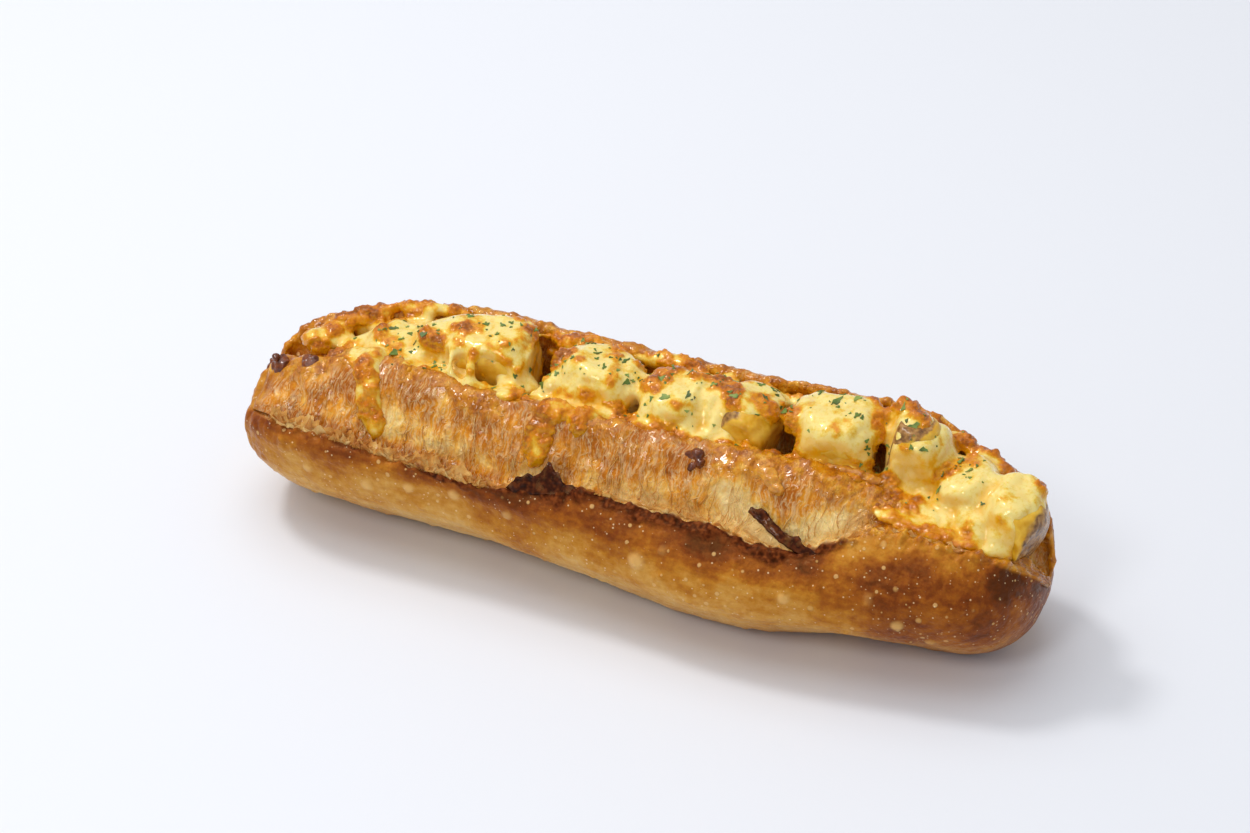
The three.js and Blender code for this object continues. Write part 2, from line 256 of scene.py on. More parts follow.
def add_balls(bm, balls):
    """Balls drawn out along the axes, as rows (x, y, z, radius x, y, z)."""
    for x, y, z, *radii in balls:
        place = Matrix.Translation((x, y, z)) @ Matrix.Diagonal((*radii, 1))
        bmesh.ops.create_icosphere(bm, subdivisions=3, radius=1, matrix=place)


def box_mm(node):
    """The low and high corners of a CAD node, in millimetres."""
    return [np.array(corner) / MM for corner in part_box(node)]


def finish_piece(name, mesh, material, slot, *replaces, smooth_shaded=True):
    mesh.materials.append(material)
    if smooth_shaded:
        mesh.shade_smooth()
    piece = placed(name, mesh)
    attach(piece, "root")
    if replaces:
        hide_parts(*replaces)
    return piece


def srgb(code):
    """Linear colour from a hex code."""
    channels = [int(code[i : i + 2], 16) / 255 for i in (1, 3, 5)]
    return (*[c / 12.92 if c <= 0.04045 else ((c + 0.055) / 1.055) ** 2.4 for c in channels], 1)


def add(tree, kind, inputs=None, stops=None, out=0, **settings):
    """Adds a node with its settings, and returns one of its outputs if it has any. An input that is a
    socket is linked, and any other value is set."""
    made = tree.nodes.new("ShaderNode" + kind)
    for name, value in settings.items():
        setattr(made, name, value)
    for name, value in (inputs or {}).items():
        if isinstance(value, bpy.types.NodeSocket):
            tree.links.new(value, made.inputs[name])
        else:
            made.inputs[name].default_value = value
    if stops:
        ramp = made.color_ramp
        while len(ramp.elements) < len(stops):
            ramp.elements.new(0.5)
        for element, (place, colour) in zip(ramp.elements, stops):
            element.position = place
            element.color = srgb(colour)
    return made.outputs[out] if made.outputs else None


def new_material(name):
    """A material, its empty node tree, and the place on the object in metres."""
    material = bpy.data.materials.new(name)
    material.use_nodes = True
    tree = material.node_tree
    tree.nodes.clear()
    return material, tree, add(tree, "TexCoord", out="Object")


# ---- the bread ----------------------------------------------------------------------------

# Blisters big enough to stand out, as (x, s, radius).
BIG_BLISTERS = [
    (-86, 5.2, 1.3), (-79, 4.7, 1.6), (-72, 4.4, 1.1), (-63, 4.7, 1.8), (-52, 5.0, 1.5), (-49, 4.4, 1.2),
    (-40, 5.3, 1.7), (-26, 5.1, 1.4), (-12, 5.2, 1.2), (8, 4.9, 2.3), (14, 5.6, 1.3), (25, 4.9, 1.0),
    (44, 4.9, 1.5), (51, 5.4, 1.2), (63, 5.2, 1.3), (70, 4.5, 1.6), (77, 3.9, 1.4), (84, 5.2, 1.2),
    (58, 3.9, 1.1), (-4, 4.1, 1.2), (66, 6.1, 1.1), (-93, 4.3, 1.1),
]
SMALL_BLISTERS = 90  # as many again, placed by chance
BLISTER_RISE = 0.3  # of its radius


def make_loaf():
    """The loaf: a sphere whose rings become its cross-sections. Returns (mesh, s at each vertex)."""
    columns = np.concatenate([k + np.arange(n) / n for k, (n, _) in enumerate(RAILS)])
    bm = bmesh.new()
    bmesh.ops.create_uvsphere(bm, u_segments=len(columns), v_segments=STATIONS, radius=1)
    mesh = mesh_of(bm, "bread")
    ball = coordinates(mesh) * MM
    angle = np.arccos(np.clip(ball[:, 2], -1, 1))
    column = np.rint(np.arctan2(ball[:, 1], ball[:, 0]) / (2 * np.pi) * len(columns)).astype(int)
    # Rings spaced partly as on a ball lie closer together towards the tips, where the loaf rounds off.
    share = 0.45 * (1 - np.cos(angle)) / 2 + 0.55 * angle / np.pi
    s = columns[column % len(columns)]
    set_coordinates(mesh, loaf_points(LEFT_TIP["x"] + (RIGHT_TIP["x"] - LEFT_TIP["x"]) * share, s))
    outward = normals(mesh)[np.argmax(coordinates(mesh)[:, 1])]
    if outward[1] < 0:
        mesh.flip_normals()
    return mesh, s


def crust_material(name, see_through, lit_through):
    """Wheat crust baked on a hearth: satin where starch glazed it, pale blisters, wet-looking torn
    strands, and charred where the ear stood up to the heat. The loaf is thick enough to scatter
    light. A thin shred lets through the light behind it, and its relief is in its shape."""
    material, tree, place = new_material(name)
    uv = add(tree, "UVMap", uv_map="loaf")
    reads = {n: add(tree, "Attribute", out="Fac", attribute_name=n)
             for n in ("bake", "char", "torn", "gold", "blister", "film")}
    drawn_out = add(tree, "Mapping", {"Vector": place, "Scale": (0.3, 1, 1)})
    # The strands of crumb run up the torn face and wander a little.
    warp = add(tree, "TexNoise", {"Vector": place, "Scale": 1 / (6 * MM), "Detail": 2}, out="Color")
    lean = add(tree, "VectorMath", {0: warp, 1: (5 * MM,) * 3}, operation="MULTIPLY")
    bent = add(tree, "VectorMath", {0: uv, 1: lean}, operation="ADD")
    upward = add(tree, "Mapping", {"Vector": bent, "Scale": (1, 0.22, 1)})
    combed = add(tree, "Mapping", {"Vector": bent, "Scale": (1, 0.12, 1)})

    # Noise with features of a size in millimetres, as (name, where, size, detail, roughness).
    grain = {}
    for name, vector, size, detail, rough in (
        ("clouds", place, 15, 3, 0.55), ("freckles", place, 2.0, 5, 0.65),
        ("streaks", drawn_out, 2.6, 4, 0.6), ("sparse", place, 11, 1, 0.5), ("patches", place, 6, 4, 0.6),
        ("fat", place, 3.2, 3, 0.6), ("ragged", place, 2.8, 6, 0.65), ("ash_and_sheen", place, 1.3, 1, 0.5),
        ("skin", place, 1.1, 1, 0.5), ("swell", place, 3, 2, 0.5), ("crumb", place, 1.5, 1, 0.5),
        ("ropes", upward, 2.4, 1, 0.5), ("strand", upward, 1.5, 2, 0.5), ("thread", upward, 0.75, 2, 0.5),
        ("hair", combed, 0.65, 2, 0.6),
    ):
        grain[name] = add(tree, "TexNoise", {"Vector": vector, "Scale": 1 / (size * MM), "Detail": detail,
                                             "Roughness": rough})
    # Fine lines where stretched membranes stand edge-on: they fork and loop.
    for name, width in (("strand", 0.045), ("thread", 0.05)):
        off = add(tree, "Math", {0: grain[name], 1: 0.5}, operation="SUBTRACT")
        off = add(tree, "Math", {0: off}, operation="ABSOLUTE")
        grain[name] = add(tree, "MapRange", {"Value": off, "From Min": width, "From Max": 0.0},
                          interpolation_type="SMOOTHSTEP")
    # Round spots of many sizes, one in each cell, as (name, spacing, smallest and largest radius).
    # Where the radius falls below nothing, the cell has no spot.
    for name, spacing, smallest, largest in (("domes", 6.0, -1.2, 1.4), ("pips", 2.6, -0.15, 0.7),
                                             ("specks", 1.2, -0.08, 0.3), ("foam", 1.2, 0.25, 0.6)):
        distance = add(tree, "TexVoronoi", {"Vector": place, "Scale": 1 / (spacing * MM)})
        luck = add(tree, "SeparateColor", {"Color": distance.node.outputs["Color"]})
        radius = add(tree, "MapRange", {"Value": luck, "To Min": smallest / spacing,
                                        "To Max": largest / spacing})
        radius = add(tree, "Math", {0: radius, 1: 0.001}, operation="MAXIMUM")
        near = add(tree, "Math", {0: distance, 1: radius}, operation="DIVIDE")
        grain[name] = add(tree, "MapRange", {"Value": near, "From Min": 1.0, "From Max": 0.7})
    here = add(tree, "Math", {0: grain["sparse"], 1: 0.38}, operation="GREATER_THAN")
    grain["pips"] = add(tree, "Math", {0: grain["pips"], 1: here}, operation="MULTIPLY")
    # Bright fibres of crumb, and the gaps between them.
    for name, low, high in (("fibre", 0.5, 0.64), ("gap", 0.5, 0.36)):
        grain[name] = add(tree, "MapRange", {"Value": grain["hair"], "From Min": low, "From Max": high})

    # How far each place is baked, gilded and burnt, with some painted shade in the first two: painted, then
    # broken up by noise.
    levels = {}
    for name, terms in {"bake": (("clouds", 0.9), ("freckles", 0.55), ("streaks", 0.5)),
                        "gold": (("patches", 1.6), ("ropes", 0.9)),
                        "char": (("ragged", 1.0), ("ash_and_sheen", 0.3))}.items():
        level = reads[name]
        for source, weight in terms:
            level = add(tree, "Math", {0: grain[source], 1: weight, 2: level}, operation="MULTIPLY_ADD")
            level = add(tree, "Math", {0: level, 1: weight / 2}, operation="SUBTRACT",
                        use_clamp=source == terms[-1][0])
        levels[name] = level
    burnt = add(tree, "MapRange", {"Value": levels["char"], "From Min": 0.3, "From Max": 0.8})
    colours = {}
    for name, level, stops in (
        ("crust", levels["bake"], [(0.0, "#dcb169"), (0.22, "#cf9846"), (0.42, "#bb7a26"),
                                   (0.6, "#9f591b"), (0.8, "#7b3a16"), (1.0, "#542611")]),
        ("torn", levels["gold"], [(0.0, "#f4d48a"), (0.28, "#ecb855"), (0.5, "#de9424"),
                                  (0.74, "#c8760c"), (1.0, "#a65604")]),
        ("fat", grain["fat"], [(0.3, "#954e04"), (0.42, "#b66a06"), (0.56, "#cc8410"), (0.7, "#e2a83a")]),
        # coal: the char's own dark, uneven tone, lighter on the raised ridges of its relief as a painted
        # highlight.
        ("coal", grain["ash_and_sheen"], [(0.3, "#331006"), (0.5, "#54220e"), (0.68, "#7a3c1a")]),
    ):
        colours[name] = add(tree, "ValToRGB", {"Fac": level}, stops=stops)
    # Colours laid over one another, as (how much of it, where, the colour).
    for name, overlays in {
        "crust": ((0.6, grain["domes"], "#dcab64"), (0.7, grain["pips"], "#e2b573"),
                  (0.7, grain["specks"], "#edd0a2"), (0.75, reads["blister"], "#e2b46c")),
        "torn": ((0.22, grain["gap"], "#b4701a"), (0.28, grain["fibre"], "#fbe6b4"),
                 (0.3, grain["strand"], "#fce3a8"), (0.2, grain["thread"], "#f9d68c")),
    }.items():
        for share, where, over in overlays:
            where = add(tree, "Math", {0: where, 1: share}, operation="MULTIPLY")
            colours[name] = add(tree, "Mix", {"Factor": where, "A": colours[name], "B": srgb(over)},
                                out="Result", data_type="RGBA")
    colour = colours["crust"]
    for where, over in ((reads["torn"], "torn"), (reads["film"], "fat"), (burnt, "coal")):
        colour = add(tree, "Mix", {"Factor": where, "A": colour, "B": colours[over]}, out="Result",
                     data_type="RGBA")

    rough = add(tree, "MapRange", {"Value": grain["skin"], "From Min": 0.3, "From Max": 0.7,
                                   "To Min": 0.34, "To Max": 0.46})
    # Fat lies as a wet coat on the torn crumb and on the film.
    wet = 0.0
    for where, change in ((reads["torn"], -0.16), (reads["film"], -0.08)):
        rough = add(tree, "Math", {0: where, 1: change, 2: rough}, operation="MULTIPLY_ADD")
        wet = add(tree, "Math", {0: where, 1: 0.35, 2: wet}, operation="MULTIPLY_ADD")
    # Char is dry and hardly shines.
    shine = add(tree, "MapRange", {"Value": burnt, "To Min": 0.32, "To Max": 0.12})
    look = {"Base Color": colour, "Roughness": rough, "Coat Weight": wet, "Coat Roughness": 0.06,
            "IOR": 1.45, "Specular Tint": srgb("#ffc870"), "Specular IOR Level": shine,
            "Subsurface Weight": see_through, "Subsurface Radius": (1.0, 0.5, 0.2),
            "Subsurface Scale": 1.5 * MM}
    if lit_through:
        glow = add(tree, "BsdfTranslucent", {"Color": colour})
        surface = add(tree, "MixShader", {0: lit_through, 1: add(tree, "BsdfPrincipled", look), 2: glow})
    else:
        # Relief in millimetres: everywhere, then only where it is torn, filmed with fat or burnt.
        height = 0.0
        for where, terms in (
            (1.0, (("skin", 0.22), ("swell", 0.5), ("domes", 0.2), ("pips", 0.12), ("specks", 0.03))),
            (reads["torn"], (("strand", 0.09), ("fibre", 0.04), ("ropes", 0.28), ("crumb", 0.06))),
            (reads["film"], (("foam", 0.16), ("fat", 0.3))),
            (burnt, (("ash_and_sheen", 0.35),)),
        ):
            layer = 0.0
            for source, weight in terms:
                layer = add(tree, "Math", {0: grain[source], 1: weight, 2: layer},
                            operation="MULTIPLY_ADD")
            height = add(tree, "Math", {0: layer, 1: where, 2: height}, operation="MULTIPLY_ADD")
        look["Normal"] = add(tree, "Bump", {"Height": height, "Distance": MM, "Strength": 1.0})
        surface = add(tree, "BsdfPrincipled", look)
    add(tree, "OutputMaterial", {"Surface": surface})
    return material


def make_bread():
    mesh, s = make_loaf()
    points = coordinates(mesh)
    x = points[:, 0]
    # The tear stops short of the left tip, which whole crust wraps.
    past_tip = smooth(-96.5, -92, x + 1.5 * patches(points, 5, 28))
    torn_zone = band(s, 6.9, 7.3, 16.6, 17.2) * past_tip
    crust_zone = band(s, 1.5, 2.5, 22, 22.8) * (1 - torn_zone)
    crumb_face = band(s, 7.2, 7.8, 10.9, 11.6) * past_tip
    left_end = smooth(-70, -98, x)
    right_end = smooth(42, 78, x)

    # Swells and dents of the dough, then the ripples of its skin.
    height = 0.7 * patches(points, 26, 1) + 0.45 * patches(points, 11, 2) * crust_zone
    height += (0.2 * patches(points, 3.2, 3) + 0.12 * patches(points, 1.4, 12)) * crust_zone
    # Concentric folds where the dough was tucked in at the left tip.
    from_tip = x - LEFT_TIP["x"]
    folds = np.sin(from_tip * 2.1 + 1.5 * patches(points, 9, 13))
    height += 0.45 * folds * smooth(9, 3, from_tip) * crust_zone
    # The torn face: drawn-out membranes of crumb, as ridges that fork, with small hollows between.
    wander = np.column_stack([x + 1.6 * patches(points, 6, 14), s * 3.0 + 1.6 * patches(points, 7, 15),
                              points[:, 1] * 0])
    web = 0.55 * ridges(wander, 3.4, 4) + 0.45 * ridges(wander, 1.7, 5)
    web *= crumb_face * smooth(-0.3, 0.3, patches(points, 8, 16))
    height += crumb_face * (0.9 * patches(points, 7, 6) + 0.35 * patches(points, 3, 17))
    height += 0.4 * web - 0.2 * crumb_face * bubbles(wander, 1.8, 6)
    # The valley behind the ear closes towards the left tip.
    height += 1.4 * band(x, -100, -95, -92, -84) * band(s, 7.1, 7.8, 8.3, 9.2)
    # Lumps of crumb and baked-on cheese along both lips of the split.
    lips = band(s, 15, 16, 16.9, 17.6) + band(s, 9.9, 10.7, 11.6, 12.4)
    height += lips * (0.8 * patches(points, 5, 7) + 0.3 * patches(points, 2.2, 8))
    film = smooth(-0.15, 0.2, patches(points, 9, 18) + 0.35 * patches(points, 3, 19)
                  + 0.5 * smooth(9.6, 10.8, s) - 0.25 + 0.6 * left_end)
    film *= band(s, 9.2, 10.2, 12, 12.6) + band(s, 14.6, 15.3, 16.9, 17.5)
    film = np.maximum(film, smooth(50, 60, x) * band(s, 6.7, 7.1, 12, 12.6))
    height += film * (0.55 * bubbles(points, 2.8, 3) + 0.3 * bubbles(points, 1.6, 4))
    # The ear's torn edge.
    edge = band(s, 6.2, 6.9, 7.1, 7.9) * smooth(-95, -88, x)
    height += edge * (1.0 * patches(points * (1, 0.2, 0.2), 3, 20) + 0.7 * ridges(points, 4.5, 9)
                      + 0.6 * patches(points, 1.4, 10) - 0.3)
    height *= smooth(0.0, 0.6, points[:, 2])
    raise_surface(mesh, height)
    points = coordinates(mesh)
    points[:, 2] = np.maximum(points[:, 2], 0)
    blister = add_blisters(mesh, points, s)

    # How far each place is baked: pale near the base, deep at the right end and under the ear. Low on the
    # front wall right of the middle it is also darkened as painted shade.
    bake = 0.14 + 0.3 * smooth(6, 30, points[:, 2]) + 0.38 * right_end + 0.1 * left_end
    # Painted shade: darker low on the front wall, from the middle towards the right end.
    bake += 0.2 * smooth(3.4, 2.2, s) * smooth(5, 40, x)
    bake += 0.24 * band(s, 4.8, 6.6, 6.9, 7.4)
    bake += 0.14 * band(s, 4.8, 6, 6.9, 7.4) * band(x, -62, -45, 46, 58)
    bake -= 0.5 * band(s, 5.2, 6.8, 7.2, 7.6) * band(x, 46, 58, 84, 94)
    bake -= 0.12 * right_end * smooth(14, 3, points[:, 2])
    # The ear is burnt along a line of uneven depth below its edge, less just left of its flap.
    depth = 6.2 + 0.5 * patches(points * (1, 0, 0), 9, 24) + 0.3 * patches(points * (1, 0, 0), 3, 25)
    rim = 7.0 + 0.25 * patches(points * (1, 0, 0), 4, 26)
    char = band(s, depth, depth + 0.6, rim - 0.05, rim + 0.15) * band(x, -58, -42, 50, 62)
    char *= 1 - 0.45 * band(x, -40, -35, -31, -27)
    # The torn face turns from pale to gold towards the crown and at both ends. In the valley behind the ear
    # at the left it turns deep gold: golden crumb that is also darkened there as painted shade.
    gold = band(s, VALLEY, CROWN + 0.5, 17, 17.5)
    gold = gold + (1 - gold) * (0.6 * smooth(-40, -70, x) + 0.6 * smooth(48, 66, x))
    gold += 0.8 * patches(points, 11, 27) - 0.3 * smooth(13, 15, s) - 0.04
    gold += 0.22 * (band(x, -48, -36, 12, 22) - band(x, 24, 32, 52, 60))
    # Painted shade: deep gold, and so darker, in the valley behind the ear at the left.
    gold += 0.8 * smooth(8.7, 8.1, s) * smooth(-22, -36, x)
    for name, values in (("bake", np.clip(bake, 0, 1)), ("char", char), ("torn", torn_zone),
                         ("gold", np.clip(gold, 0, 1)), ("blister", blister), ("film", film)):
        paint(mesh, name, values)

    # A map of the surface in metres: along the loaf, and round it.
    turns = np.linspace(0, len(RAILS), RING_POINTS)
    ring = loaf_points(np.zeros(RING_POINTS), turns)
    lengths = np.concatenate([[0], np.cumsum(np.linalg.norm(np.diff(ring, axis=0), axis=1))])
    uv = np.column_stack([x, np.interp(s, turns, lengths)]) * MM
    layer = mesh.uv_layers.new(name="loaf")
    corners = read(mesh.loops, "vertex_index", kind=np.int32)
    layer.data.foreach_set("uv", uv[corners].astype(np.float32).ravel())
    return mesh, points.min(0), points.max(0)


def add_blisters(mesh, points, s):
    """Domes of dough skin blown up by steam, 1.5 to 4.6 mm across. Returns how far each vertex is inside
    one of the larger ones, which are paler than the crust."""
    chance = random.Random(4)
    tree = KDTree(len(points))
    for i, p in enumerate(points):
        tree.insert(p, i)
    tree.balance()
    outward = normals(mesh)
    inside = np.zeros(len(points))
    moved = points.copy()
    small = [(chance.uniform(-99, 95),
              chance.uniform(2.6, 6.2) if chance.random() < 0.6 else chance.uniform(17.8, 22),
              0.75 + 0.5 * chance.random() ** 2) for _ in range(SMALL_BLISTERS)]
    for x, at, radius in BIG_BLISTERS + small:
        centre = loaf_points(x, at)[0]
        for _, i, distance in tree.find_range(Vector(centre), radius * 1.8):
            across = distance / radius
            if across < 1:
                moved[i] = points[i] + outward[i] * BLISTER_RISE * radius * (1 - across**4)
            inside[i] = max(inside[i], (1 - smooth(0.5, 1.2, across)) * smooth(1.2, 1.5, radius))
    moved[:, 2] = np.maximum(moved[:, 2], 0)
    set_coordinates(mesh, moved)
    return inside


# ---- crust torn loose ---------------------------------------------------------------------

SPLINTERS = 230
STRANDS = 150


def add_flap(bm, spine, widths, thickness, seed, char, gold, segments=(18, 4)):
    """A torn ribbon of crust. spine is a list of ((x, y, z), (x, y, z)): points, and the way that the
    ribbon's width runs there; widths gives the width at each; char and gold are what it is painted."""
    tints = [(bm.verts.layers.float[name], value) for name, value in (("char", char), ("gold", gold))]
    before, first = len(bm.faces), len(bm.verts)
    made = bmesh.ops.create_grid(bm, x_segments=segments[0], y_segments=segments[1], size=0.5)
    at = np.array([p for p, _ in spine], float)
    way = np.array([w for _, w in spine], float)
    way /= np.linalg.norm(way, axis=1)[:, None]
    t_keys = np.linspace(0, 1, len(spine))
    for v in made["verts"]:
        t, w = v.co.x + 0.5, v.co.y + 0.5
        centre, across = (Vector([np.interp(t, t_keys, rows[:, k]) for k in range(3)])
                          for rows in (at, way))
        wide = np.interp(t, t_keys, widths)
        ragged = noise.noise(Vector((t * len(spine) * 1.3, w, seed))) * 0.5 + 1
        place = centre + across * wide * w * ragged
        wobble = noise.noise_vector(place / 2.2 + Vector((seed, 0, 0))) * 0.6 * w
        v.co = place + wobble + noise.noise_vector(place / 1.1) * 0.35 * min(1, wide)
    bm.faces.ensure_lookup_table()
    bmesh.ops.solidify(bm, geom=bm.faces[before:], thickness=thickness)
    bm.verts.ensure_lookup_table()
    for v in bm.verts[first:]:
        for layer, value in tints:
            v[layer] = value


def loose_crust(name, flaps):
    """A mesh of flaps with the numbers that the crust's material reads."""
    bm = bmesh.new()
    for tint in ("char", "gold"):
        bm.verts.layers.float.new(tint)
    for flap in flaps:
        add_flap(bm, *flap)
    bmesh.ops.recalc_face_normals(bm, faces=bm.faces)
    mesh = mesh_of(bm, name, MM)
    points = coordinates(mesh)
    for tint, seed in (("char", 80), ("gold", 81)):
        layer = mesh.attributes[tint].data
        layer.foreach_set("value", read(layer, "value") + 0.3 * patches(points, 2.5, seed))
    paint(mesh, "torn", np.ones(len(points)))
    set_coordinates(mesh, points + SHIFT)
    mesh.uv_layers.new(name="loaf")
    return mesh


def make_loose_crust(material):
    burnt_flap = ([((-28, -24.4, 29.6), (0.1, 0.3, 1)), ((-25, -24.4, 30.2), (0.05, 0.3, 1)),
                   ((-21.5, -24, 30.8), (0, 0.4, 0.9)), ((-17, -23.3, 31.6), (0, 0.5, 0.9)),
                   ((-13, -22.6, 32.2), (-0.1, 0.4, 1)), ((-9, -22, 32.6), (-0.1, 0.2, 1))],
                  [0.8, 3.4, 5.4, 6.2, 3.6, 0.8], 0.7, 3, 0.8, 1.0, (30, 8))
    strip = ([((30.6, -16.4, 36), (0.35, 0.6, 0.6)), ((33, -17.4, 35.4), (0.35, 0.6, 0.6)),
              ((37, -19, 33.8), (0.35, 0.6, 0.6)), ((41, -20.4, 32.4), (0.3, 0.5, 0.7)),
              ((45, -21.2, 31.6), (0.2, 0.4, 0.8)), ((50, -21.2, 32), (0, 0.3, 0.9))],
             [1.2, 2.2, 2.4, 2.4, 2.2, 0.8], 0.5, 5, 0.85, 1.0, (34, 7))
    pale_crumb = ([((30.5, -18.8, 32.6), (0.2, 0.5, 0.8)), ((34, -19.6, 31.8), (0.2, 0.5, 0.8)),
                   ((38, -20.6, 30.6), (0.2, 0.5, 0.8)), ((43, -21.2, 30), (0.2, 0.5, 0.8))],
                  [1.0, 4.0, 3.4, 0.8], 0.8, 6, -0.6, -0.1, (24, 6))
    mesh = loose_crust("burnt_flaps", [burnt_flap, strip])
    finish_piece("burnt_crust_flaps", mesh, material, "crust")

    # A fringe of torn crumb that stands along the ear, and splinters in front of it: most of them,
    # and the longest, are at the left end.
    chance = random.Random(21)
    stations = np.arange(-91.0, 86.0, 1.5)
    foot = loaf_points(stations, np.full(len(stations), 7.12))
    tall = 0.6 + 1.5 * smooth(-20, -50, stations) + 0.9 * band(stations, -42, -36, -30, -24)
    tall *= np.clip(1 + 1.3 * patches(foot, 4, 84) + 0.9 * patches(foot, 1.9, 85), 0.15, 2.2)
    fringe = ([(point, (0.15, chance.uniform(0.1, 1.1), 1)) for point in foot], tall, 0.35, 9, -0.25,
              0.35, (520, 5))
    splinters = [fringe, pale_crumb]
    for _ in range(SPLINTERS):
        x = chance.uniform(-91, -32) if chance.random() < 0.72 else chance.uniform(-30, 82)
        base = loaf_points(x, 7.05 + chance.uniform(-0.1, 0.4))[0]
        long = chance.uniform(1.2, 3.8) if x < -32 else chance.uniform(0.6, 1.8)
        way = (chance.uniform(-0.6, 0.8), chance.uniform(-0.3, 0.8), chance.uniform(0.35, 1.0))
        half = Vector((1, chance.uniform(-0.3, 0.3), chance.uniform(-0.3, 0.3))) * chance.uniform(0.5, 1.6)
        spine = [(base - half, way), (base, way), (base + half, way)]
        splinters.append((spine, [0.25 * long, long, 0.2 * long], 0.3, chance.uniform(0, 99),
                          chance.uniform(-0.4, 0.05), chance.uniform(0.0, 0.8), (4, 2)))
    mesh = loose_crust("splinters", splinters)
    finish_piece("torn_crust_splinters", mesh, material, "crust", smooth_shaded=False)

    # Strands of stretched gluten that arch over the torn face.
    curve = bpy.data.curves.new("strands", "CURVE")
    curve.dimensions = "3D"
    curve.bevel_depth = 1
    curve.bevel_resolution = 0
    curve.use_fill_caps = True
    for _ in range(STRANDS):
        x = chance.uniform(-88, 60)
        low = chance.uniform(7.6, 8.7)
        high = low + chance.uniform(0.3, 1.3)
        lean, thick = chance.gauss(0, 1.8), chance.uniform(0.08, 0.18)
        arch = chance.uniform(0.1, 0.55)
        steps = np.linspace(0, 1, 7)
        line = loaf_points(x + lean * steps + 0.5 * np.sin(steps * 6 + x), low + (high - low) * steps)
        line += np.array([0, -0.75, 0.65]) * (0.1 + arch * np.sin(np.pi * steps))[:, None]
        spline = curve.splines.new("POLY")
        spline.points.add(len(line) - 1)
        for point, place, step in zip(spline.points, line, steps):
            point.co = (*place, 1)
            point.radius = thick * (0.45 + 1.1 * abs(step - 0.5))
    mesh = shape_of(placed("strands", curve))
    mesh.materials.clear()
    mesh.transform(Matrix.Scale(MM, 4))
    points = coordinates(mesh)
    set_coordinates(mesh, points + SHIFT)
    paint(mesh, "torn", np.ones(len(points)))
    paint(mesh, "gold", np.clip(0.35 + 0.5 * patches(points, 8, 82), 0, 1))
    finish_piece("gluten_strands", mesh, material, "crust")


# ---- the potato ---------------------------------------------------------------------------

# Where the skin is on each chunk, as the direction in which that side faces and the cosine at which
# the skin ends; None is a chunk with no skin in sight.
SKIN_SIDES = [None, ((0.9, -0.2, 0.2), 0.79), None, None, ((-0.8, -0.4, 0.7), 0.79),
((0.6, -0.3, -0.7), 0.6),
              ((-0.5, -0.3, 0.8), 0.55), None, ((1, -0.1, -0.1), 0.75)]
POTATO_VOXEL = 0.6


def potato_material():
    """Steamed waxy potato: moist yellow flesh, a little see-through, with thin russet skin."""
    material, tree, place = new_material("baked_waxy_potato")
    skin = add(tree, "Attribute", out="Fac", attribute_name="skin")
    grain = add(tree, "TexNoise", {"Vector": place, "Scale": 1 / (1.4 * MM), "Detail": 4})
    patch = add(tree, "TexNoise", {"Vector": place, "Scale": 1 / (6 * MM), "Detail": 3})
    flesh = add(tree, "ValToRGB", {"Fac": patch}, stops=[
        (0.3, "#a9741c"), (0.4, "#d69a14"), (0.52, "#ebbc40"), (0.7, "#cf9214")])
    peel = add(tree, "ValToRGB", {"Fac": grain}, stops=[
        (0.3, "#5b3a1e"), (0.55, "#a3763f"), (0.75, "#c39a62")])
    colour = add(tree, "Mix", {"Factor": skin, "A": flesh, "B": peel}, out="Result", data_type="RGBA")
    bump = add(tree, "Bump", {"Height": grain, "Distance": 0.25 * MM, "Strength": 0.7})
    surface = add(tree, "BsdfPrincipled", {
        "Base Color": colour, "Roughness": 0.24, "IOR": 1.4, "Subsurface Weight": 0.25,
        "Subsurface Radius": (1.0, 0.6, 0.25), "Subsurface Scale": 2.5 * MM, "Normal": bump})
    add(tree, "OutputMaterial", {"Surface": surface})
    return material


def make_potatoes():
    material = potato_material()
    made = []
    for i, side in enumerate(SKIN_SIDES):
        node = f"potato_chunk_{i + 1}"
        mesh = remeshed(merged_copy(node), POTATO_VOXEL, 5)
        points = coordinates(mesh)
        raise_surface(mesh, 0.35 * patches(points, 5, 30 + i) + 0.1 * patches(points, 1.5, 50 + i))
        skin = np.zeros(len(points))
        if side:
            way, limit = side
            facing = normals(mesh) @ (np.array(way) / np.linalg.norm(way))
            skin = smooth(limit - 0.05, limit + 0.05, facing + 0.1 * patches(points, 4, 70 + i))
        paint(mesh, "skin", skin)
        made.append(finish_piece(f"baked_{node}", mesh, material, "potato", node))
    return made


# ---- the melted cheese --------------------------------------------------------------------

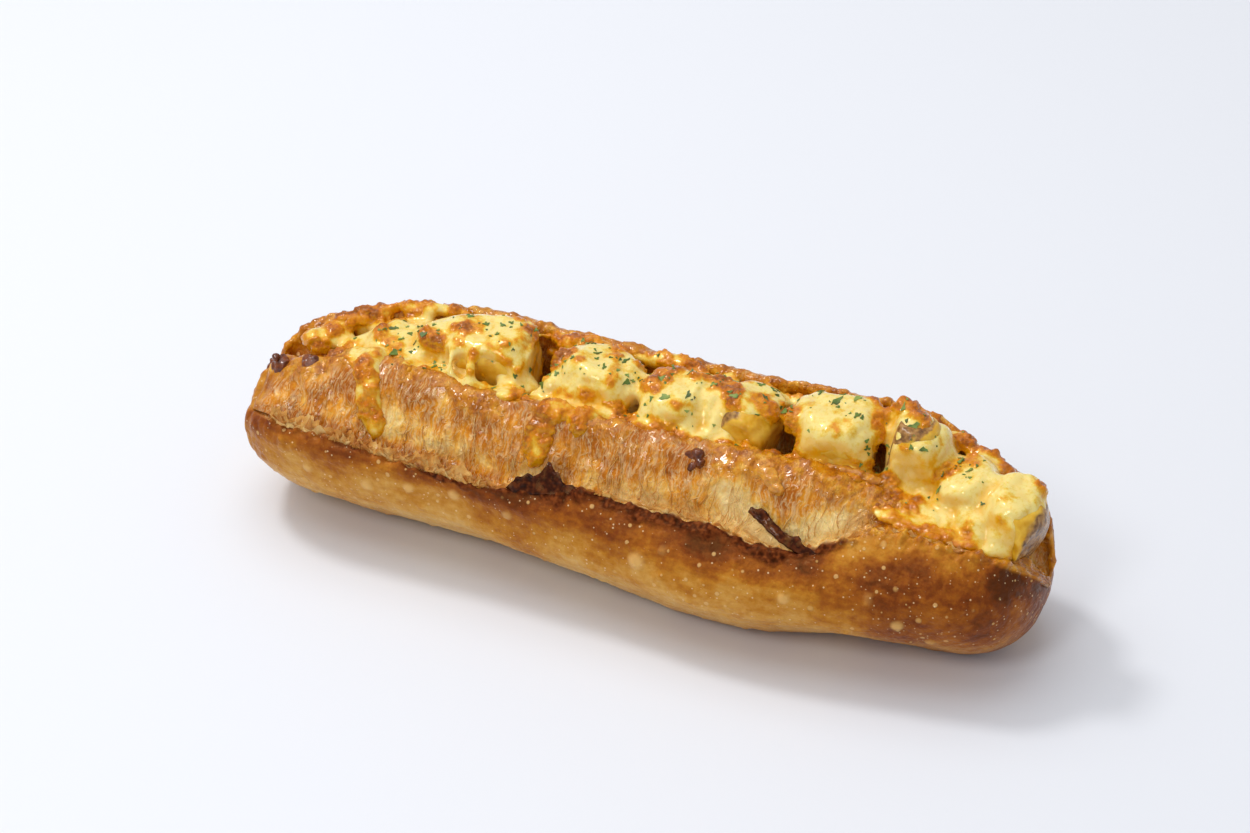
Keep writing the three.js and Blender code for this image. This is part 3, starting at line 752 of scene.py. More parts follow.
# Lumps of cheese, as (x, y, z, half length, half width, half height, toast): toast runs from 0,
# just melted, to 1, well browned.
LEFT_LUMPS = [
    # froth on the left end, and along the back rim
    (-88, 0.5, 40.5, 4.5, 4, 3.4, 0.5), (-86, 4.5, 41.3, 4, 3.5, 3.2, 0.5),
    (-84, 7.5, 43.2, 3, 2.5, 2.2, 0.6),
    (-80.5, 10.5, 44.4, 3, 2.2, 2, 0.65), (-77, 13.3, 45, 3.2, 2.2, 1.8, 0.65),
    (-71, 15.5, 45.6, 4, 2.2, 1.6, 0.5),
    (-66, 16.5, 46, 4, 2.2, 1.6, 0.35), (-60, 18, 46, 5, 2, 1.4, 0.35),
    # the hollow behind them, glazed
    (-77, 10, 39.5, 7.5, 2.4, 4.5, 0.45), (-66, 12.5, 40, 8, 3, 5, 0.4), (-80, 2, 40.5, 4, 3.5, 2, 0.15),
    # first, low mound
    (-76, 3, 41, 4.5, 3.5, 3, 0), (-71, 3, 42.5, 5, 4, 3.4, 0.45), (-66.5, 1.5, 41.5, 5, 4, 3.6, 0.4),
    (-78, -3.6, 41.2, 5, 3, 1.3, 0.55), (-72, -3.8, 42.6, 6.5, 4, 1.4, 0.5),
    (-64, -4.8, 43, 6, 4, 1.5, 0.45),
    # second chunk: plateau, browned front edge, the lumps where its strings land
    (-47, 8, 49.2, 12, 7.5, 2.6, 0.08), (-58, 5, 47.3, 5, 6, 3.5, 0.05), (-61, -0.5, 43.5, 4, 4, 3, 0.1),
    (-56.5, 2.5, 48.3, 4, 3, 2, 0.65), (-50.5, 4.5, 49.3, 4, 2.6, 1.9, 0.7),
    (-45, 6, 49.6, 3.5, 2.6, 2, 0.6),
    (-43.5, 11, 50, 5, 3, 1.6, 0.03), (-39.5, 13, 48.5, 4, 3.5, 3.5, 0.2), (-37.5, 12, 48, 3, 3, 3.2, 0.75),
    (-42.5, -6, 41.5, 4.5, 3, 2.6, 0.75), (-46.5, -7.2, 41.3, 4, 2.4, 2.2, 0.8),
    (-39, -5.5, 41.5, 3.5, 2.6, 2, 0.6),
    (-34.8, 4, 44.5, 2, 6, 4.5, 0.4), (-33.5, 1.5, 41.5, 4, 3.5, 2.4, 0), (-37, 0, 43, 3, 2.5, 3, 0),
    (-34, -4.7, 42.8, 4.5, 3, 2.2, 0.6), (-37.8, -6.7, 42, 2.6, 2, 1.5, 0.7), (-53, 2, 44.5, 4, 3, 4, 0.35),
    (-52, -3.5, 42.8, 7, 3, 1.6, 0.5),
]
MIDDLE_LUMPS = [
    # third chunk, with browned lumps behind it
    (-28.5, 17, 45.3, 4, 3, 2.8, 0.55), (-23.5, 17.5, 45.6, 4.5, 3, 2.8, 0.5),
    (-19, 18, 45.3, 3.5, 2.5, 2.2, 0.5),
    (-17, 8, 48.5, 9.5, 7.5, 3, 0.08), (-24.5, 6.5, 47.8, 4, 3.5, 3, 0.7), (-13, 10, 49.1, 4.5, 3, 2, 0.55),
    (-18, 1.5, 45.3, 8, 5, 4, 0.1), (-18.5, -1.2, 44.6, 5, 3, 2.8, 0.75),
    (-15, -0.5, 45, 3, 2.5, 2.5, 0.65),
    (-26, 0.5, 43, 3, 3, 4, 0.03), (-28.5, -1.5, 41.8, 3, 2.5, 2, 0.05), (-12, 3, 46.5, 3, 3.5, 3, 0.25),
    (-10.5, -3.2, 42.8, 4.5, 3, 2, 0.6), (-4.5, -4.2, 42.8, 5, 2.6, 1.7, 0.65),
    (1, -4.3, 42.8, 4, 2.4, 1.6, 0.6),
    (-13, -8.5, 41.5, 4, 2.6, 2.2, 0.65), (-9.5, -6, 42.6, 3.5, 2.4, 1.7, 0.6),
    (-15.5, -10.5, 40, 3, 2.2, 1.8, 0.7),
    (-22, -5.5, 43.2, 5, 3, 1.6, 0.6), (-29, 3, 39, 4, 5, 2.5, 0.3),
    # browned lumps on the back rim
    (-3, 19, 45.3, 6, 3, 2.9, 0.6), (2.5, 19, 45.1, 4.5, 2.6, 2.3, 0.55),
    (-8.5, 19, 44.8, 3.5, 2, 1.6, 0.5),
    # fourth chunk: loose folds of cheese over it
    (3, 7, 48.1, 8, 6, 3, 0.1), (12, 7.5, 48.3, 8, 6.5, 3, 0.1), (20, 6, 46.5, 5, 6, 3, 0.1),
    (1, 7.5, 50, 3, 2.6, 1.8, 0.8), (-1, 4, 49, 2.6, 2.4, 1.8, 0.6), (6.5, 8.5, 50.3, 2.8, 2, 1.2, 0.45),
    (15, 6, 50, 3.2, 2.6, 1.8, 0.75), (17.5, 4.5, 49, 2.6, 2.4, 1.8, 0.75), (10.5, 9, 50, 3, 2, 1, 0.5),
    (-1, 1, 45.3, 3, 4, 4, 0.03), (5, -2.5, 42, 9, 3, 2.2, 0.05), (14, -3.5, 41.5, 7, 2.6, 2, 0.03),
    (10, 2.5, 43.5, 10, 4, 3.5, 0),
    # behind the fourth and fifth chunks
    (8, 15, 44.5, 10, 4, 2.2, 0.25), (22, 15, 44.8, 8, 4, 2.4, 0.25), (25, 11, 47.5, 5, 4, 2, 0.15),
]
RIGHT_LUMPS = [
    # sixth chunk
    (36, 16, 45, 9, 3.5, 2.2, 0.35), (40, 9, 50.1, 8.5, 6.5, 2.6, 0.1), (47, 11, 50.3, 6.5, 5.5, 2.6, 0.15),
    (35.5, 7, 49, 4, 4.5, 3, 0.3), (34, 4.5, 48.5, 3.5, 3.5, 3.5, 0.75),
    (37.5, 3.5, 46.5, 3.5, 2.6, 3, 0.8),
    (41, 3, 45, 4, 2.6, 2.6, 0.75), (45, 4, 45, 3.5, 2.6, 2.6, 0.65), (51, 11.5, 50, 3.5, 3, 2, 0.75),
    (52, 8, 48, 3, 3, 3, 0.6), (49, 14, 51.5, 3, 2.5, 1.5, 0.7), (43, 9.5, 52.3, 3.5, 2, 1.2, 0.05),
    (47.5, 12, 52.5, 3, 2, 1.2, 0.05), (48, -1.2, 41.5, 6, 2.5, 1.3, 0.8),
    # seventh chunk, tall, with cheese drawn down both its sides
    (61, 11, 46.5, 6.2, 6.2, 7.5, 0.45), (57.5, 14, 52.3, 3.5, 3, 2.2, 0.6), (66, 11, 45.5, 4, 6, 6, 0.05),
    (69.5, 10, 42, 4, 5, 4, 0.03), (62, 5, 42, 5, 3, 3, 0.5),
    # eighth chunk
    (72.5, 8, 41.3, 5, 4.5, 3, 0.35), (76.5, 5.5, 40, 5, 4, 3, 0.1), (74, 7.5, 43.3, 3, 2.4, 1.4, 0.6),
    # the flow over the front, down to the ear
    (58, 1.5, 39.8, 4, 3, 2.4, 0.75), (60, -2, 38.4, 5, 4, 2.4, 0.8), (64, -4, 37.8, 5, 3.5, 1.9, 0.75),
    (68, -1, 37.8, 6, 5, 2.4, 0.25), (75, -1.5, 37.3, 7, 5, 2.6, 0.2), (70, -7, 37.1, 6, 3, 1.5, 0.5),
    (78, -7, 36.6, 6, 3, 1.5, 0.4), (83, -4, 37.1, 5, 4, 2.4, 0.15),
    (57, -5.5, 39, 4, 3, 1.6, 0.7), (62, -8.5, 38.6, 4.5, 3, 1.5, 0.55), (67, -10, 38.2, 5, 2.6, 1.4, 0.4),
    (73, -9.5, 37.7, 5, 2.6, 1.4, 0.35), (79, -9.5, 36.8, 4.5, 2.4, 1.4, 0.4),
    (84, -8.5, 35.4, 4, 2.4, 1.6, 0.35),
    (88, -6.5, 34.8, 3.5, 3, 2, 0.3), (73, -12, 37.8, 3, 1.4, 0.9, 0.85), (71, -4, 38, 6, 4, 2, 0.3),
    # ninth chunk: thick shining folds
    (84.5, 3, 42, 5, 6, 3.5, 0), (92, 7.2, 44, 2.6, 2.6, 2, 0.35), (80, -3, 38.5, 5, 4, 3, 0.05),
    (86, -5, 37, 4, 3, 2.4, 0.1),
    # the back rim
    (70, 19, 43.3, 4, 2.5, 1.8, 0.6), (76.5, 16.5, 41.6, 5, 3, 2.2, 0.6),
    (81, 14.5, 40.5, 3.5, 3, 2.4, 0.6),
]

# Cheese that follows a chunk's own shape, as (chunk, how much thicker, (shift), toast).
LEFT_COATS = [(1, 1.3, (0, 0, 0.4), 0.2), (2, 1.2, (0, 1.6, 1.0), 0.1)]
MIDDLE_COATS = [(3, 1.3, (0, 0.2, 0.4), 0.15), (4, 1.4, (0, 0, 0.5), 0.1), (5, 0.7, (-0.8, 2.0, 0.8), 0.2)]
RIGHT_COATS = [(6, 1.4, (-0.3, 0.8, 1.6), 0.25), (7, 1.1, (0.8, -0.4, -2.0), 0.25),
(8, 1.3, (0, 0, 0.4), 0.1),
               (9, 0.9, (-1.8, 0.8, 1.0), 0.05)]

# Strings of cheese, as (toast, [(x, y, z, radius), ...]).
LEFT_STRINGS = [
    (0.1, [(-51.8, 1.5, 49.6, 1.7), (-50.8, -2.6, 48.4, 1.1), (-49.4, -5.6, 45.6, 1.05),
    (-48, -6.8, 42.8, 1.3),
           (-47, -7, 41, 1.8)]),
    (0.1, [(-46.6, 2, 49.6, 1.9), (-45.6, -2.6, 48.4, 1.4), (-44.6, -5.4, 45.6, 1.3),
    (-43.4, -6.6, 42.8, 1.6),
           (-42.6, -6.6, 41, 2.0)]),
]
MIDDLE_STRINGS = [
    (0, [(-10.5, 8, 49, 1.6), (-9.8, 5, 46.5, 1.0), (-9, 2, 43.5, 0.9), (-8.5, 0.5, 41.5, 1.4)]),
    (0, [(6, 5, 49, 2.2), (7.5, 1.5, 47.5, 2.2), (9.5, -1, 45, 2.4), (11.5, -3, 42.5, 2.6)]),
    (0, [(14, 4, 48.5, 2), (15, 1, 46.5, 2), (15.5, -1.5, 44, 2.2), (15, -3.5, 42, 2.4)]),
    (0, [(20, 5, 47, 2.2), (19.5, 1, 45, 2.2), (18.5, -2, 43, 2.4)]),
]
RIGHT_STRINGS = [
    (0.5, [(44, 2.5, 46, 2), (45.5, 1, 43.5, 2), (47, 0, 41.8, 2.4)]),
    (0.05, [(56.5, 10, 48, 1.6), (56.6, 6.5, 44.5, 1.4), (57.5, 4, 41, 1.6)]),
    (0, [(80, 2, 42.8, 2.4), (84, 5.5, 44.5, 2.4), (89, 8, 44.8, 2.4)]),
    (0, [(82, -1, 41, 2.4), (87, 2, 43.3, 2.6), (91, 5.5, 43.8, 2.6)]),
    (0, [(85, -3, 39, 2.2), (89, -1, 41, 2.4), (93, 3, 42, 2.2)]),
]
# Drips that run down the torn face, as (toast, [(x, s, radius), ...]).
LEFT_DRIPS = [
    (0.4, [(-70.5, 10.9, 3.4), (-69.5, 10.3, 3.6), (-68, 9.8, 3.6), (-66.3, 9.3, 3.7), (-64.7, 8.9, 3.5),
            (-64, 8.6, 2.8)]),
    (0.45, [(-75, 10.9, 2.6), (-74.5, 10.4, 2.4)]),
    (0.5, [(-62, 10.9, 2.4), (-61, 10.5, 2.2)]),
]
MIDDLE_DRIPS = [
    (0.58, [(-21.5, 11.1, 2.8), (-22.5, 10.7, 2.8), (-23, 10.2, 2.8), (-23, 9.7, 3.1), (-22.8, 9.2, 3.4),
           (-22.5, 8.95, 2.8)]),
    (0.55, [(-17, 11, 2.2), (-18.5, 10.6, 2.4), (-20.5, 10.2, 2.3)]),
    (0.6, [(-13, 11, 2.8), (-13.5, 10.6, 3), (-14, 10.2, 2.8), (-14.3, 9.95, 2.2)]),
]
BEAD_SPACING = 0.35  # of a string's radius
SILL_SPACING = 2.6
# Where the small lumps of a sill lie, as (s, how likely, least toast, most toast).
SILL_PLACES = ((11.15, 0.75, 0.2, 0.65), (12.0, 0.75, 0.0, 0.4), (15.3, 0.75, 0.1, 0.5),
               (16.0, 0.35, 0.2, 0.6))
CHEESE_VOXEL = 0.48


def string_beads(points):
    """Balls strung closely along a smooth line through (x, y, z, radius) points."""
    points = np.array(points, float)
    ends = np.vstack([2 * points[0] - points[1], points, 2 * points[-1] - points[-2]])
    beads = []
    for i in range(len(points) - 1):
        a, b, c, d = ends[i : i + 4]
        steps = max(2, int(np.linalg.norm((c - b)[:3]) / (BEAD_SPACING * min(b[3], c[3]))))
        beads += [between(a, b, c, d, f) for f in np.arange(steps) / steps]
    return beads + [points[-1]]


def sill(first, last, seed):
    """Small lumps of cheese run down against both lips of the split."""
    chance = random.Random(seed)
    lumps = []
    x = first
    while x < last:
        for s, likely, low, high in SILL_PLACES:
            if chance.random() < likely:
                at = loaf_points(x + chance.uniform(-1, 1), s + chance.uniform(-0.2, 0.2))[0]
                wide = chance.uniform(1.3, 2.6)
                lumps.append([*at, wide * 1.3, wide, wide * 0.75, chance.uniform(low, high)])
        x += SILL_SPACING
    return lumps


def cheese_parts(lumps, strings, drips):
    """Every lump and bead of one piece of cheese, as rows like those of the lumps."""
    parts = [list(lump) for lump in lumps]
    for toast, points in strings:
        parts += [[*bead[:3], bead[3], bead[3], bead[3], toast] for bead in string_beads(points)]
    for toast, places in drips:
        on_face = [(*loaf_points(x, s)[0], radius) for x, s, radius in places]
        parts += [[*bead[:3], bead[3], 0.55 * bead[3], 0.8 * bead[3], toast]
                  for bead in string_beads(on_face)]
    return parts


def neighbour_mean(mesh, values, rounds):
    """Values at the vertices, averaged with their neighbours' that many times."""
    edges = read(mesh.edges, "vertices", 2, np.int32)
    a, b = edges.reshape(-1, 2).T
    count = np.bincount(edges, minlength=len(mesh.vertices))[:, None]
    for _ in range(rounds):
        total = [np.bincount(a, v[b], len(v)) + np.bincount(b, v[a], len(v)) for v in values.T]
        values = 0.5 * values + 0.5 * np.stack(total, 1) / count
    return values


def make_cheese(name, lumps, coats, strings, drips):
    """One piece of cheese: its coats, lumps and beads run together into one skin."""
    parts = cheese_parts(lumps, strings, drips)
    balls = [part[:6] for part in parts]
    bm = bmesh.new()
    for chunk, thicker, shift, toast in coats:
        low, high = (corner - SHIFT for corner in box_mm(f"potato_chunk_{chunk}"))
        centre, half = (low + high) / 2, (high - low) / 2
        coat = merged_copy(f"potato_chunk_{chunk}")
        grown = (coordinates(coat) - SHIFT - centre) * (1 + thicker / half) + centre + shift
        coat.vertices.foreach_set("co", grown.astype(np.float32).ravel())
        bm.from_mesh(coat)
        parts.append([*(centre + shift), *(half + thicker), toast])
    add_balls(bm, balls)
    mesh = remeshed(mesh_of(bm, name, MM), 2 * CHEESE_VOXEL, 3)
    mesh = remeshed(mesh, CHEESE_VOXEL, 4)

    # Sags too small to list one by one.
    points = coordinates(mesh)
    folds = np.abs(patches(points * (1, 0.6, 0.6), 5.5, 21))
    raise_surface(mesh, 1.3 * folds - 0.4 + 0.12 * patches(points, 2.2, 22))
    points = coordinates(mesh)
    # Toast comes from the nearest lumps, and spreads to whatever stands proud.
    share = np.zeros(len(points))
    total = np.full(len(points), 1e-6)
    for x, y, z, rx, ry, rz, toast in np.array(parts, float):
        reach = np.linalg.norm((points - (x, y, z)) / (rx, ry, rz), axis=1)
        falloff = np.exp(-((np.maximum(reach - 0.8, 0) * min(rx, ry, rz) / 0.8) ** 2))
        weight = falloff / (rx * ry * rz) ** 0.8
        share += weight * toast
        total += weight
    proud = ((points - neighbour_mean(mesh, points, 40)) * normals(mesh)).sum(1)
    toast = 0.08 + share / total + 0.22 * smooth(0.0, 0.8, proud) - 0.25 * smooth(0, -0.5, proud)
    toast += 0.6 * patches(points, 6, 23) + 0.45 * patches(points, 2.4, 24)
    toast = smooth(0.15, 1.1, neighbour_mean(mesh, toast[:, None], 2)[:, 0])
    # Froth stands where it browned.
    foam = 0.65 * bubbles(points, 2.1, 1) + 0.35 * bubbles(points, 1.1, 2)
    raise_surface(mesh, smooth(0.38, 0.5, toast) * (foam - 0.1))
    steep = smooth(0.6, 0.2, normals(mesh)[:, 2])
    set_coordinates(mesh, coordinates(mesh) + SHIFT)
    paint(mesh, "toast", toast)
    # hollow marks hollows and steep sides, where the cheese turns deeper yellow: fat that pools there, and
    # painted shade.
    paint(mesh, "hollow", np.maximum(smooth(0.1, -0.6, proud), 0.75 * steep))
    return mesh


def cheese_material():
    """Melted, grilled cheese: cream where it is thick, deeper yellow in hollows and on steep sides, where
    fat pools and shade is painted, brown where it blistered, and shining with its own fat."""
    material, tree, place = new_material("melted_grilled_cheese")
    toast, hollow = (add(tree, "Attribute", out="Fac", attribute_name=n) for n in ("toast", "hollow"))
    fine = add(tree, "TexNoise", {"Vector": place, "Scale": 1 / (1.1 * MM), "Detail": 5,
                                  "Roughness": 0.65})
    broad = add(tree, "TexNoise", {"Vector": place, "Scale": 1 / (5 * MM), "Detail": 3})
    speckle = add(tree, "Math", {0: fine, 1: 0.9, 2: -0.45}, operation="MULTIPLY_ADD")
    browned = add(tree, "Math", {0: toast, 1: speckle}, operation="ADD", use_clamp=True)
    colour = add(tree, "ValToRGB", {"Fac": browned}, stops=[
        (0.0, "#efd987"), (0.16, "#e8c75a"), (0.3, "#e0a92a"), (0.42, "#d98e10"), (0.6, "#d07e08"),
        (0.84, "#c06a06"), (1.0, "#96500c")])
    # Deeper yellow in hollows and on steep sides: fat that pools there, and painted shade.
    pool_and_shade = add(tree, "Math", {0: hollow, 1: broad}, operation="MULTIPLY")
    pool_and_shade = add(tree, "Math", {0: pool_and_shade, 1: 1.5}, operation="MULTIPLY", use_clamp=True)
    colour = add(tree, "Mix", {"Factor": pool_and_shade, "A": colour, "B": srgb("#e6a60c")}, out="Result",
                 data_type="RGBA")
    rough = add(tree, "MapRange", {"Value": fine, "From Min": 0.3, "From Max": 0.7, "To Min": 0.1,
                                   "To Max": 0.26})
    # Relief in millimetres: soft dents everywhere, and pinhead bubbles where it browned.
    dents = add(tree, "TexNoise", {"Vector": place, "Scale": 1 / (2.2 * MM), "Detail": 1})
    cells = add(tree, "TexVoronoi", {"Vector": place, "Scale": 1 / (1.3 * MM)})
    bead = add(tree, "MapRange", {"Value": cells, "From Min": 0.6, "From Max": 0.1})
    crackle = add(tree, "MapRange", {"Value": browned, "From Min": 0.4, "From Max": 0.7,
                                     "To Max": 0.22})
    bead = add(tree, "Math", {0: bead, 1: crackle}, operation="MULTIPLY")
    height = add(tree, "Math", {0: dents, 1: 0.2, 2: bead}, operation="MULTIPLY_ADD")
    bump = add(tree, "Bump", {"Height": height, "Distance": MM, "Strength": 1.0})
    surface = add(tree, "BsdfPrincipled", {
        "Base Color": colour, "Roughness": rough, "IOR": 1.46, "Specular IOR Level": 0.42,
        "Specular Tint": srgb("#ffc860"), "Coat Weight": 0.5, "Coat Roughness": 0.03,
        "Subsurface Weight": 0.3, "Subsurface Radius": (1.0, 0.65, 0.25),
        "Subsurface Scale": 1.3 * MM, "Normal": bump})
    add(tree, "OutputMaterial", {"Surface": surface})
    return material


def make_all_cheese():
    material = cheese_material()
    made = []
    for side, lumps, coats, strings, drips in (
        ("left", LEFT_LUMPS + sill(-82, -33, 1), LEFT_COATS, LEFT_STRINGS, LEFT_DRIPS),
        ("middle", MIDDLE_LUMPS + sill(-32, 30, 2), MIDDLE_COATS, MIDDLE_STRINGS, MIDDLE_DRIPS),
        ("right", RIGHT_LUMPS + sill(31, 70, 3), RIGHT_COATS, RIGHT_STRINGS, []),
    ):
        mesh = make_cheese(f"cheese_{side}", lumps, coats, strings, drips)
        made.append(finish_piece(f"melted_cheese_{side}", mesh, material, "cheese", "melted_cheese"))
    return made


# ---- burnt beads and syrup ----------------------------------------------------------------

DROP_VOXEL = 0.22
BURNT_PALENESS = 0.02
# Drops of syrup that no CAD node stands for, as name: (paleness, [(x, y, z, radius x, y, z), ...]).
SYRUP_DROPS = {
    "burnt_syrup_bubble": (BURNT_PALENESS, [
        (15.5, -10, 43.4, 1.5, 1.4, 1.4), (14, -10.4, 42.8, 1.5, 1.1, 1.1),
        (16.5, -11.4, 42, 1.3, 1.1, 1.3), (15, -12, 41, 1.1, 0.9, 1.3)]),
    "amber_syrup_drop": (0.6, [(33, -10.6, 43.4, 2.4, 1.3, 1.3), (34.5, -11.8, 42.4, 2.2, 1.2, 1.7),
                               (36, -12.6, 41.2, 1.8, 1.2, 1.5)]),
    "amber_syrup_lip": (0.5, [(46.5, -2.8, 43.2, 3.5, 1.4, 1.0), (50.5, -2.2, 43, 3.5, 1.4, 1.1),
                              (54.5, -2.0, 42.2, 3.0, 1.4, 1.0)]),
    "burnt_edge_crumb": (0.05, [(-9.5, 5.5, 48.6, 1.5, 0.8, 0.6), (-7.6, 5.6, 48, 1.4, 0.7, 0.8)]),
}


def burnt_cheese_material():
    """Cheese fat and syrup that ran out and burnt to a dark, glassy sugar-brown, or set as amber."""
    material, tree, place = new_material("burnt_cheese_glaze")
    paleness = add(tree, "Attribute", out="Fac", attribute_name="depth")
    cloud = add(tree, "TexNoise", {"Vector": place, "Scale": 1 / (1.6 * MM), "Detail": 3})
    level = add(tree, "Math", {0: cloud, 1: 0.6, 2: paleness}, operation="MULTIPLY_ADD")
    colour = add(tree, "ValToRGB", {"Fac": level}, stops=[
        (0.2, "#4a1c08"), (0.4, "#7c3c10"), (0.7, "#ac6416"), (0.95, "#dc9a34"), (1.0, "#e9b551")])
    surface = add(tree, "BsdfPrincipled", {
        "Base Color": colour, "Roughness": 0.12, "IOR": 1.5, "Subsurface Weight": 0.3,
        "Subsurface Radius": (1.0, 0.35, 0.12), "Subsurface Scale": 1.2 * MM})
    add(tree, "OutputMaterial", {"Surface": surface})
    return material


def make_drop(name, lumps, paleness):
    """Blobs run together into one drop. Lumps are (x, y, z, radius x, y, z)."""
    bm = bmesh.new()
    add_balls(bm, lumps)
    mesh = remeshed(mesh_of(bm, name, MM), DROP_VOXEL, 4)
    points = coordinates(mesh)
    raise_surface(mesh, 0.3 * patches(points, 1.8, 60) + 0.3 * ridges(points, 2.6, 61))
    paint(mesh, "depth", np.full(len(points), paleness))
    return mesh


def make_drops():
    material = burnt_cheese_material()
    chance = random.Random(8)
    for node in ("burnt_cheese_1", "burnt_cheese_2", "burnt_cheese_3"):
        low, high = box_mm(node)
        centre, half = (low + high) / 2 + (0, -1.2, -1.2), (high - low) / 2 * (1.3, 1.2, 1.7)
        lumps = [(*centre, *(half * 0.8))]
        for _ in range(7):
            toward = np.array([chance.uniform(-1, 1) for _ in range(3)]) * (0.6, 0.6, 0.85)
            lumps.append((*(centre + toward * half), *(half * chance.uniform(0.3, 0.45))))
        mesh = make_drop(f"{node}_baked", lumps, BURNT_PALENESS)
        finish_piece(f"baked_{node}", mesh, material, "burnt_cheese", node)
    for name, (paleness, lumps) in SYRUP_DROPS.items():
        moved = [(*(np.array(lump[:3]) + SHIFT), *lump[3:]) for lump in lumps]
        finish_piece(name, make_drop(name, moved, paleness), material, "burnt_cheese")


# ---- parsley ------------------------------------------------------------------------------

CRUMBS = 240
LOWEST_CRUMB = 0.038  # metres above the ground
FLAKE_THICKNESS, CRUMB_THICKNESS = 0.18, 0.15


def parsley_material():
    """Dried curled-leaf parsley: dull green, mottled dark and pale as crushed leaf is."""
    material, tree, place = new_material("dried_parsley")
    shade = add(tree, "TexNoise", {"Vector": place, "Scale": 1 / (3.5 * MM), "Detail": 3})
    colour = add(tree, "ValToRGB", {"Fac": shade}, stops=[
        (0.3, "#3a4a14"), (0.5, "#5f7826"), (0.68, "#8f9f48")])
    surface = add(tree, "BsdfPrincipled", {"Base Color": colour, "Roughness": 0.55})
    add(tree, "OutputMaterial", {"Surface": surface})
    return material


def surface_under(trees, x, y):
    """The highest surface at a place of the plan, and its normal, or None."""
    best = None
    for tree in trees:
        at, normal, _, _ = tree.ray_cast(Vector((x, y, 0.2)), Vector((0, 0, -1)))
        if at and (best is None or at.z > best[0].z):
            best = (at, normal if normal.z > 0 else -normal)
    return best


def add_scrap(bm, at, normal, length, width, chance):
    """One torn scrap of leaf, cupped a little, lying on the surface."""
    made = bmesh.ops.create_circle(bm, cap_ends=True, cap_tris=True, segments=9, radius=0.5)
    lobes = chance.uniform(0, 6.28)
    for v in made["verts"]:
        angle = math.atan2(v.co.y, v.co.x)
        v.co *= 0.72 + 0.28 * math.sin(3 * angle + lobes) + chance.uniform(-0.2, 0.2)
        v.co = Vector((v.co.x * length, v.co.y * width, 0))
        v.co.z = chance.uniform(0.03, 0.12) * v.co.length + chance.uniform(0, 0.08)
    turn = Matrix.Translation(at + normal * 0.1 * MM) @ normal.to_track_quat("Z", "Y").to_matrix().to_4x4()
    turn = turn @ Matrix.Rotation(chance.uniform(0, 6.28), 4, "Z")
    tilt = Matrix.Rotation(chance.uniform(-0.35, 0.35), 4, "X")
    bmesh.ops.transform(bm, matrix=turn @ tilt @ Matrix.Scale(MM, 4), verts=made["verts"])


def scrap_mesh(name, scraps, thickness):
    bm = bmesh.new()
    for scrap in scraps:
        add_scrap(bm, *scrap)
    bmesh.ops.recalc_face_normals(bm, faces=bm.faces)
    bmesh.ops.solidify(bm, geom=bm.faces[:], thickness=thickness * MM)
    return mesh_of(bm, name)


def make_parsley(under):
    material = parsley_material()
    chance = random.Random(11)
    trees = []
    for piece in under:
        shaped = bmesh.new()
        shaped.from_mesh(piece.data)
        trees.append(BVHTree.FromBMesh(shaped))
        shaped.free()
    boxes = {node: [Vector(corner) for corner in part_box(node)]
             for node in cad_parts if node.startswith("parsley_flake")}
    for node, (low, high) in boxes.items():
        at, normal = surface_under(trees, *((low + high) / 2).xy)
        length = (high - low).xy.length / MM
        scrap = (at, normal, length * 1.05, length * chance.uniform(0.4, 0.8), chance)
        mesh = scrap_mesh(node, [scrap], FLAKE_THICKNESS)
        finish_piece(f"dried_{node}", mesh, material, "parsley", node, smooth_shaded=False)
    # Crumbs of the same herb, too small to be pieces of their own.
    crumbs = []
    for _ in range(CRUMBS):
        low, high = boxes[chance.choice(list(boxes))]
        x, y = ((low + high) / 2).xy
        place = surface_under(trees, x + chance.gauss(0, 4) * MM, y + chance.gauss(0, 3) * MM)
        if place and place[0].z > LOWEST_CRUMB:
            size = chance.uniform(0.5, 1.8)
            crumbs.append((*place, size, size * chance.uniform(0.4, 0.9), chance))
    mesh = scrap_mesh("crumbs", crumbs, CRUMB_THICKNESS)
    finish_piece("parsley_crumbs", mesh, material, "parsley", smooth_shaded=False)


# ---- build --------------------------------------------------------------------------------

bread_mesh, bread_low, bread_high = make_bread()
frame_low, frame_high = box_mm("bread")
# What moves the loaf from its own millimetres to its place in the frame.
SHIFT = (frame_low + frame_high) / 2 - (bread_low + bread_high) / 2
SHIFT[2] = 0
set_coordinates(bread_mesh, coordinates(bread_mesh) + SHIFT)
crust = crust_material("hearth_baked_crust", 0.16, 0)
bread = finish_piece("crusty_bread", bread_mesh, crust, "crust", "bread")
make_loose_crust(crust_material("torn_crust_shreds", 0, 0.4))
potatoes = make_potatoes()
cheeses = make_all_cheese()
make_drops()
make_parsley([bread, *potatoes, *cheeses])

# ---- stage, light and camera --------------------------------------------------------------

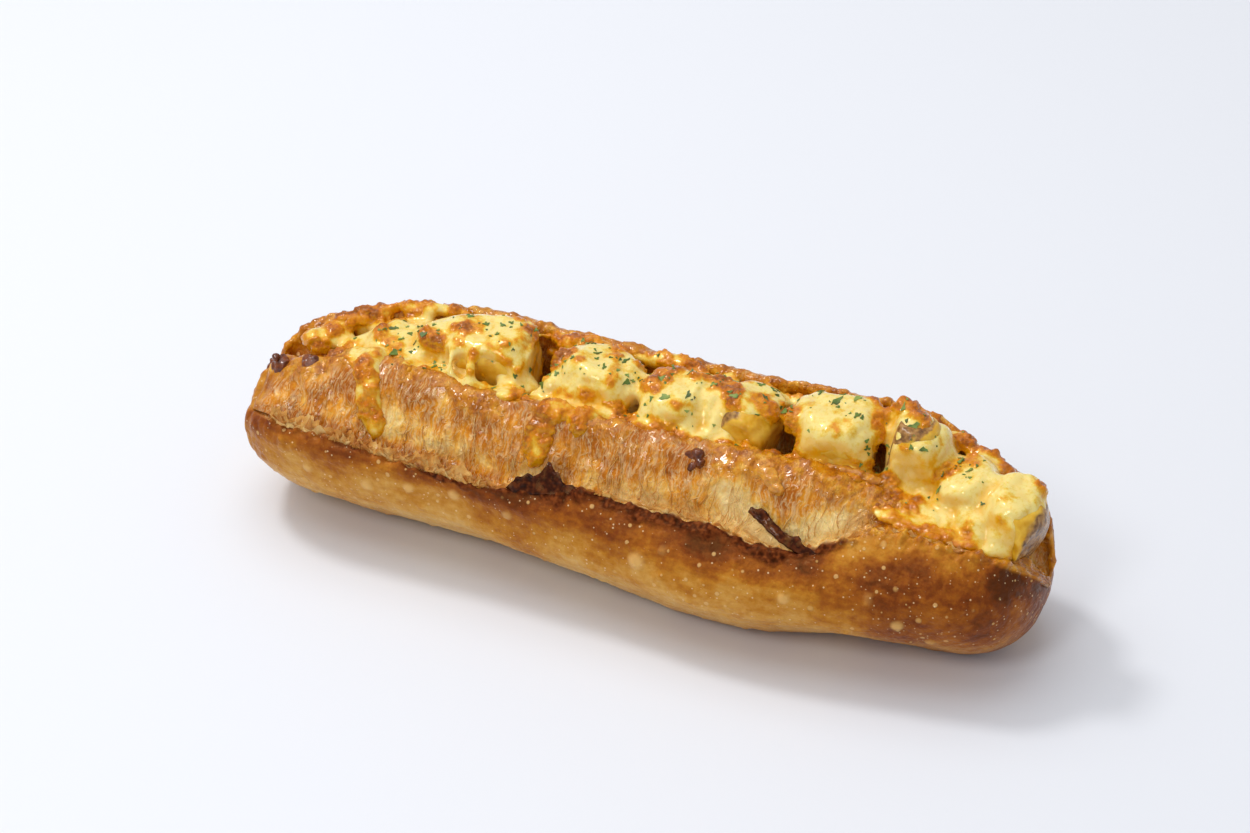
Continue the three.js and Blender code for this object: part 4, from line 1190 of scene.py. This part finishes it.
FLOOR_HALF = 4  # metres
AZIMUTH, ELEVATION = math.radians(23), math.radians(36)
DISTANCE = 0.744
RIGHT = Vector((math.cos(AZIMUTH), math.sin(AZIMUTH), 0))
AWAY = Vector((-math.sin(AZIMUTH), math.cos(AZIMUTH), 0))
LOOK = AWAY * math.cos(ELEVATION) - Vector((0, 0, math.sin(ELEVATION)))
UP = AWAY * math.sin(ELEVATION) + Vector((0, 0, math.cos(ELEVATION)))
MIDDLE = Vector((SHIFT[0] * MM, SHIFT[1] * MM, 0.025))
AIM = MIDDLE - RIGHT * 0.00643 + UP * 0.01464

# Lamps that face the loaf's middle, as (name, metres to the right, away and up, size, watts).
LAMPS = (("window", -0.5, 0.35, 1.0, 0.22, 4.0), ("overhead", -0.25, 0.2, 1.1, 1.3, 5.8),
         ("front", -0.45, -0.7, 0.85, 0.3, 2.6))


def floor_material():
    """Matt white backdrop paper."""
    material, tree, _ = new_material("matt_white_paper")
    surface = add(tree, "BsdfPrincipled", {"Base Color": srgb("#e3e5ea"), "Roughness": 0.7})
    add(tree, "OutputMaterial", {"Surface": surface})
    return material


bm = bmesh.new()
bmesh.ops.create_grid(bm, x_segments=1, y_segments=1, size=FLOOR_HALF)
floor_mesh = mesh_of(bm, "floor")
floor_mesh.materials.append(floor_material())
floor = placed("floor", floor_mesh)

for name, right, away, up, size, power in LAMPS:
    light = bpy.data.lights.new(name, "AREA")
    light.shape = "DISK"
    light.size = size
    light.energy = power
    lamp = placed(name, light)
    lamp.location = MIDDLE + RIGHT * right + AWAY * away + Vector((0, 0, up))
    lamp.rotation_euler = (MIDDLE - lamp.location).to_track_quat("-Z", "Y").to_euler()

world = bpy.data.worlds.new("studio")
bpy.context.scene.world = world
world.use_nodes = True
world.node_tree.nodes["Background"].inputs["Color"].default_value = srgb("#f3f5fa")
world.node_tree.nodes["Background"].inputs["Strength"].default_value = 0.54

camera_data = bpy.data.cameras.new("camera")
camera_data.lens = 90
camera_data.sensor_width = 36
camera_data.clip_start = 0.01
camera = placed("camera", camera_data)
camera.location = AIM - LOOK * DISTANCE
camera.rotation_euler = LOOK.to_track_quat("-Z", "Y").to_euler()
bpy.context.scene.camera = camera
bpy.context.scene.view_settings.view_transform = "Standard"
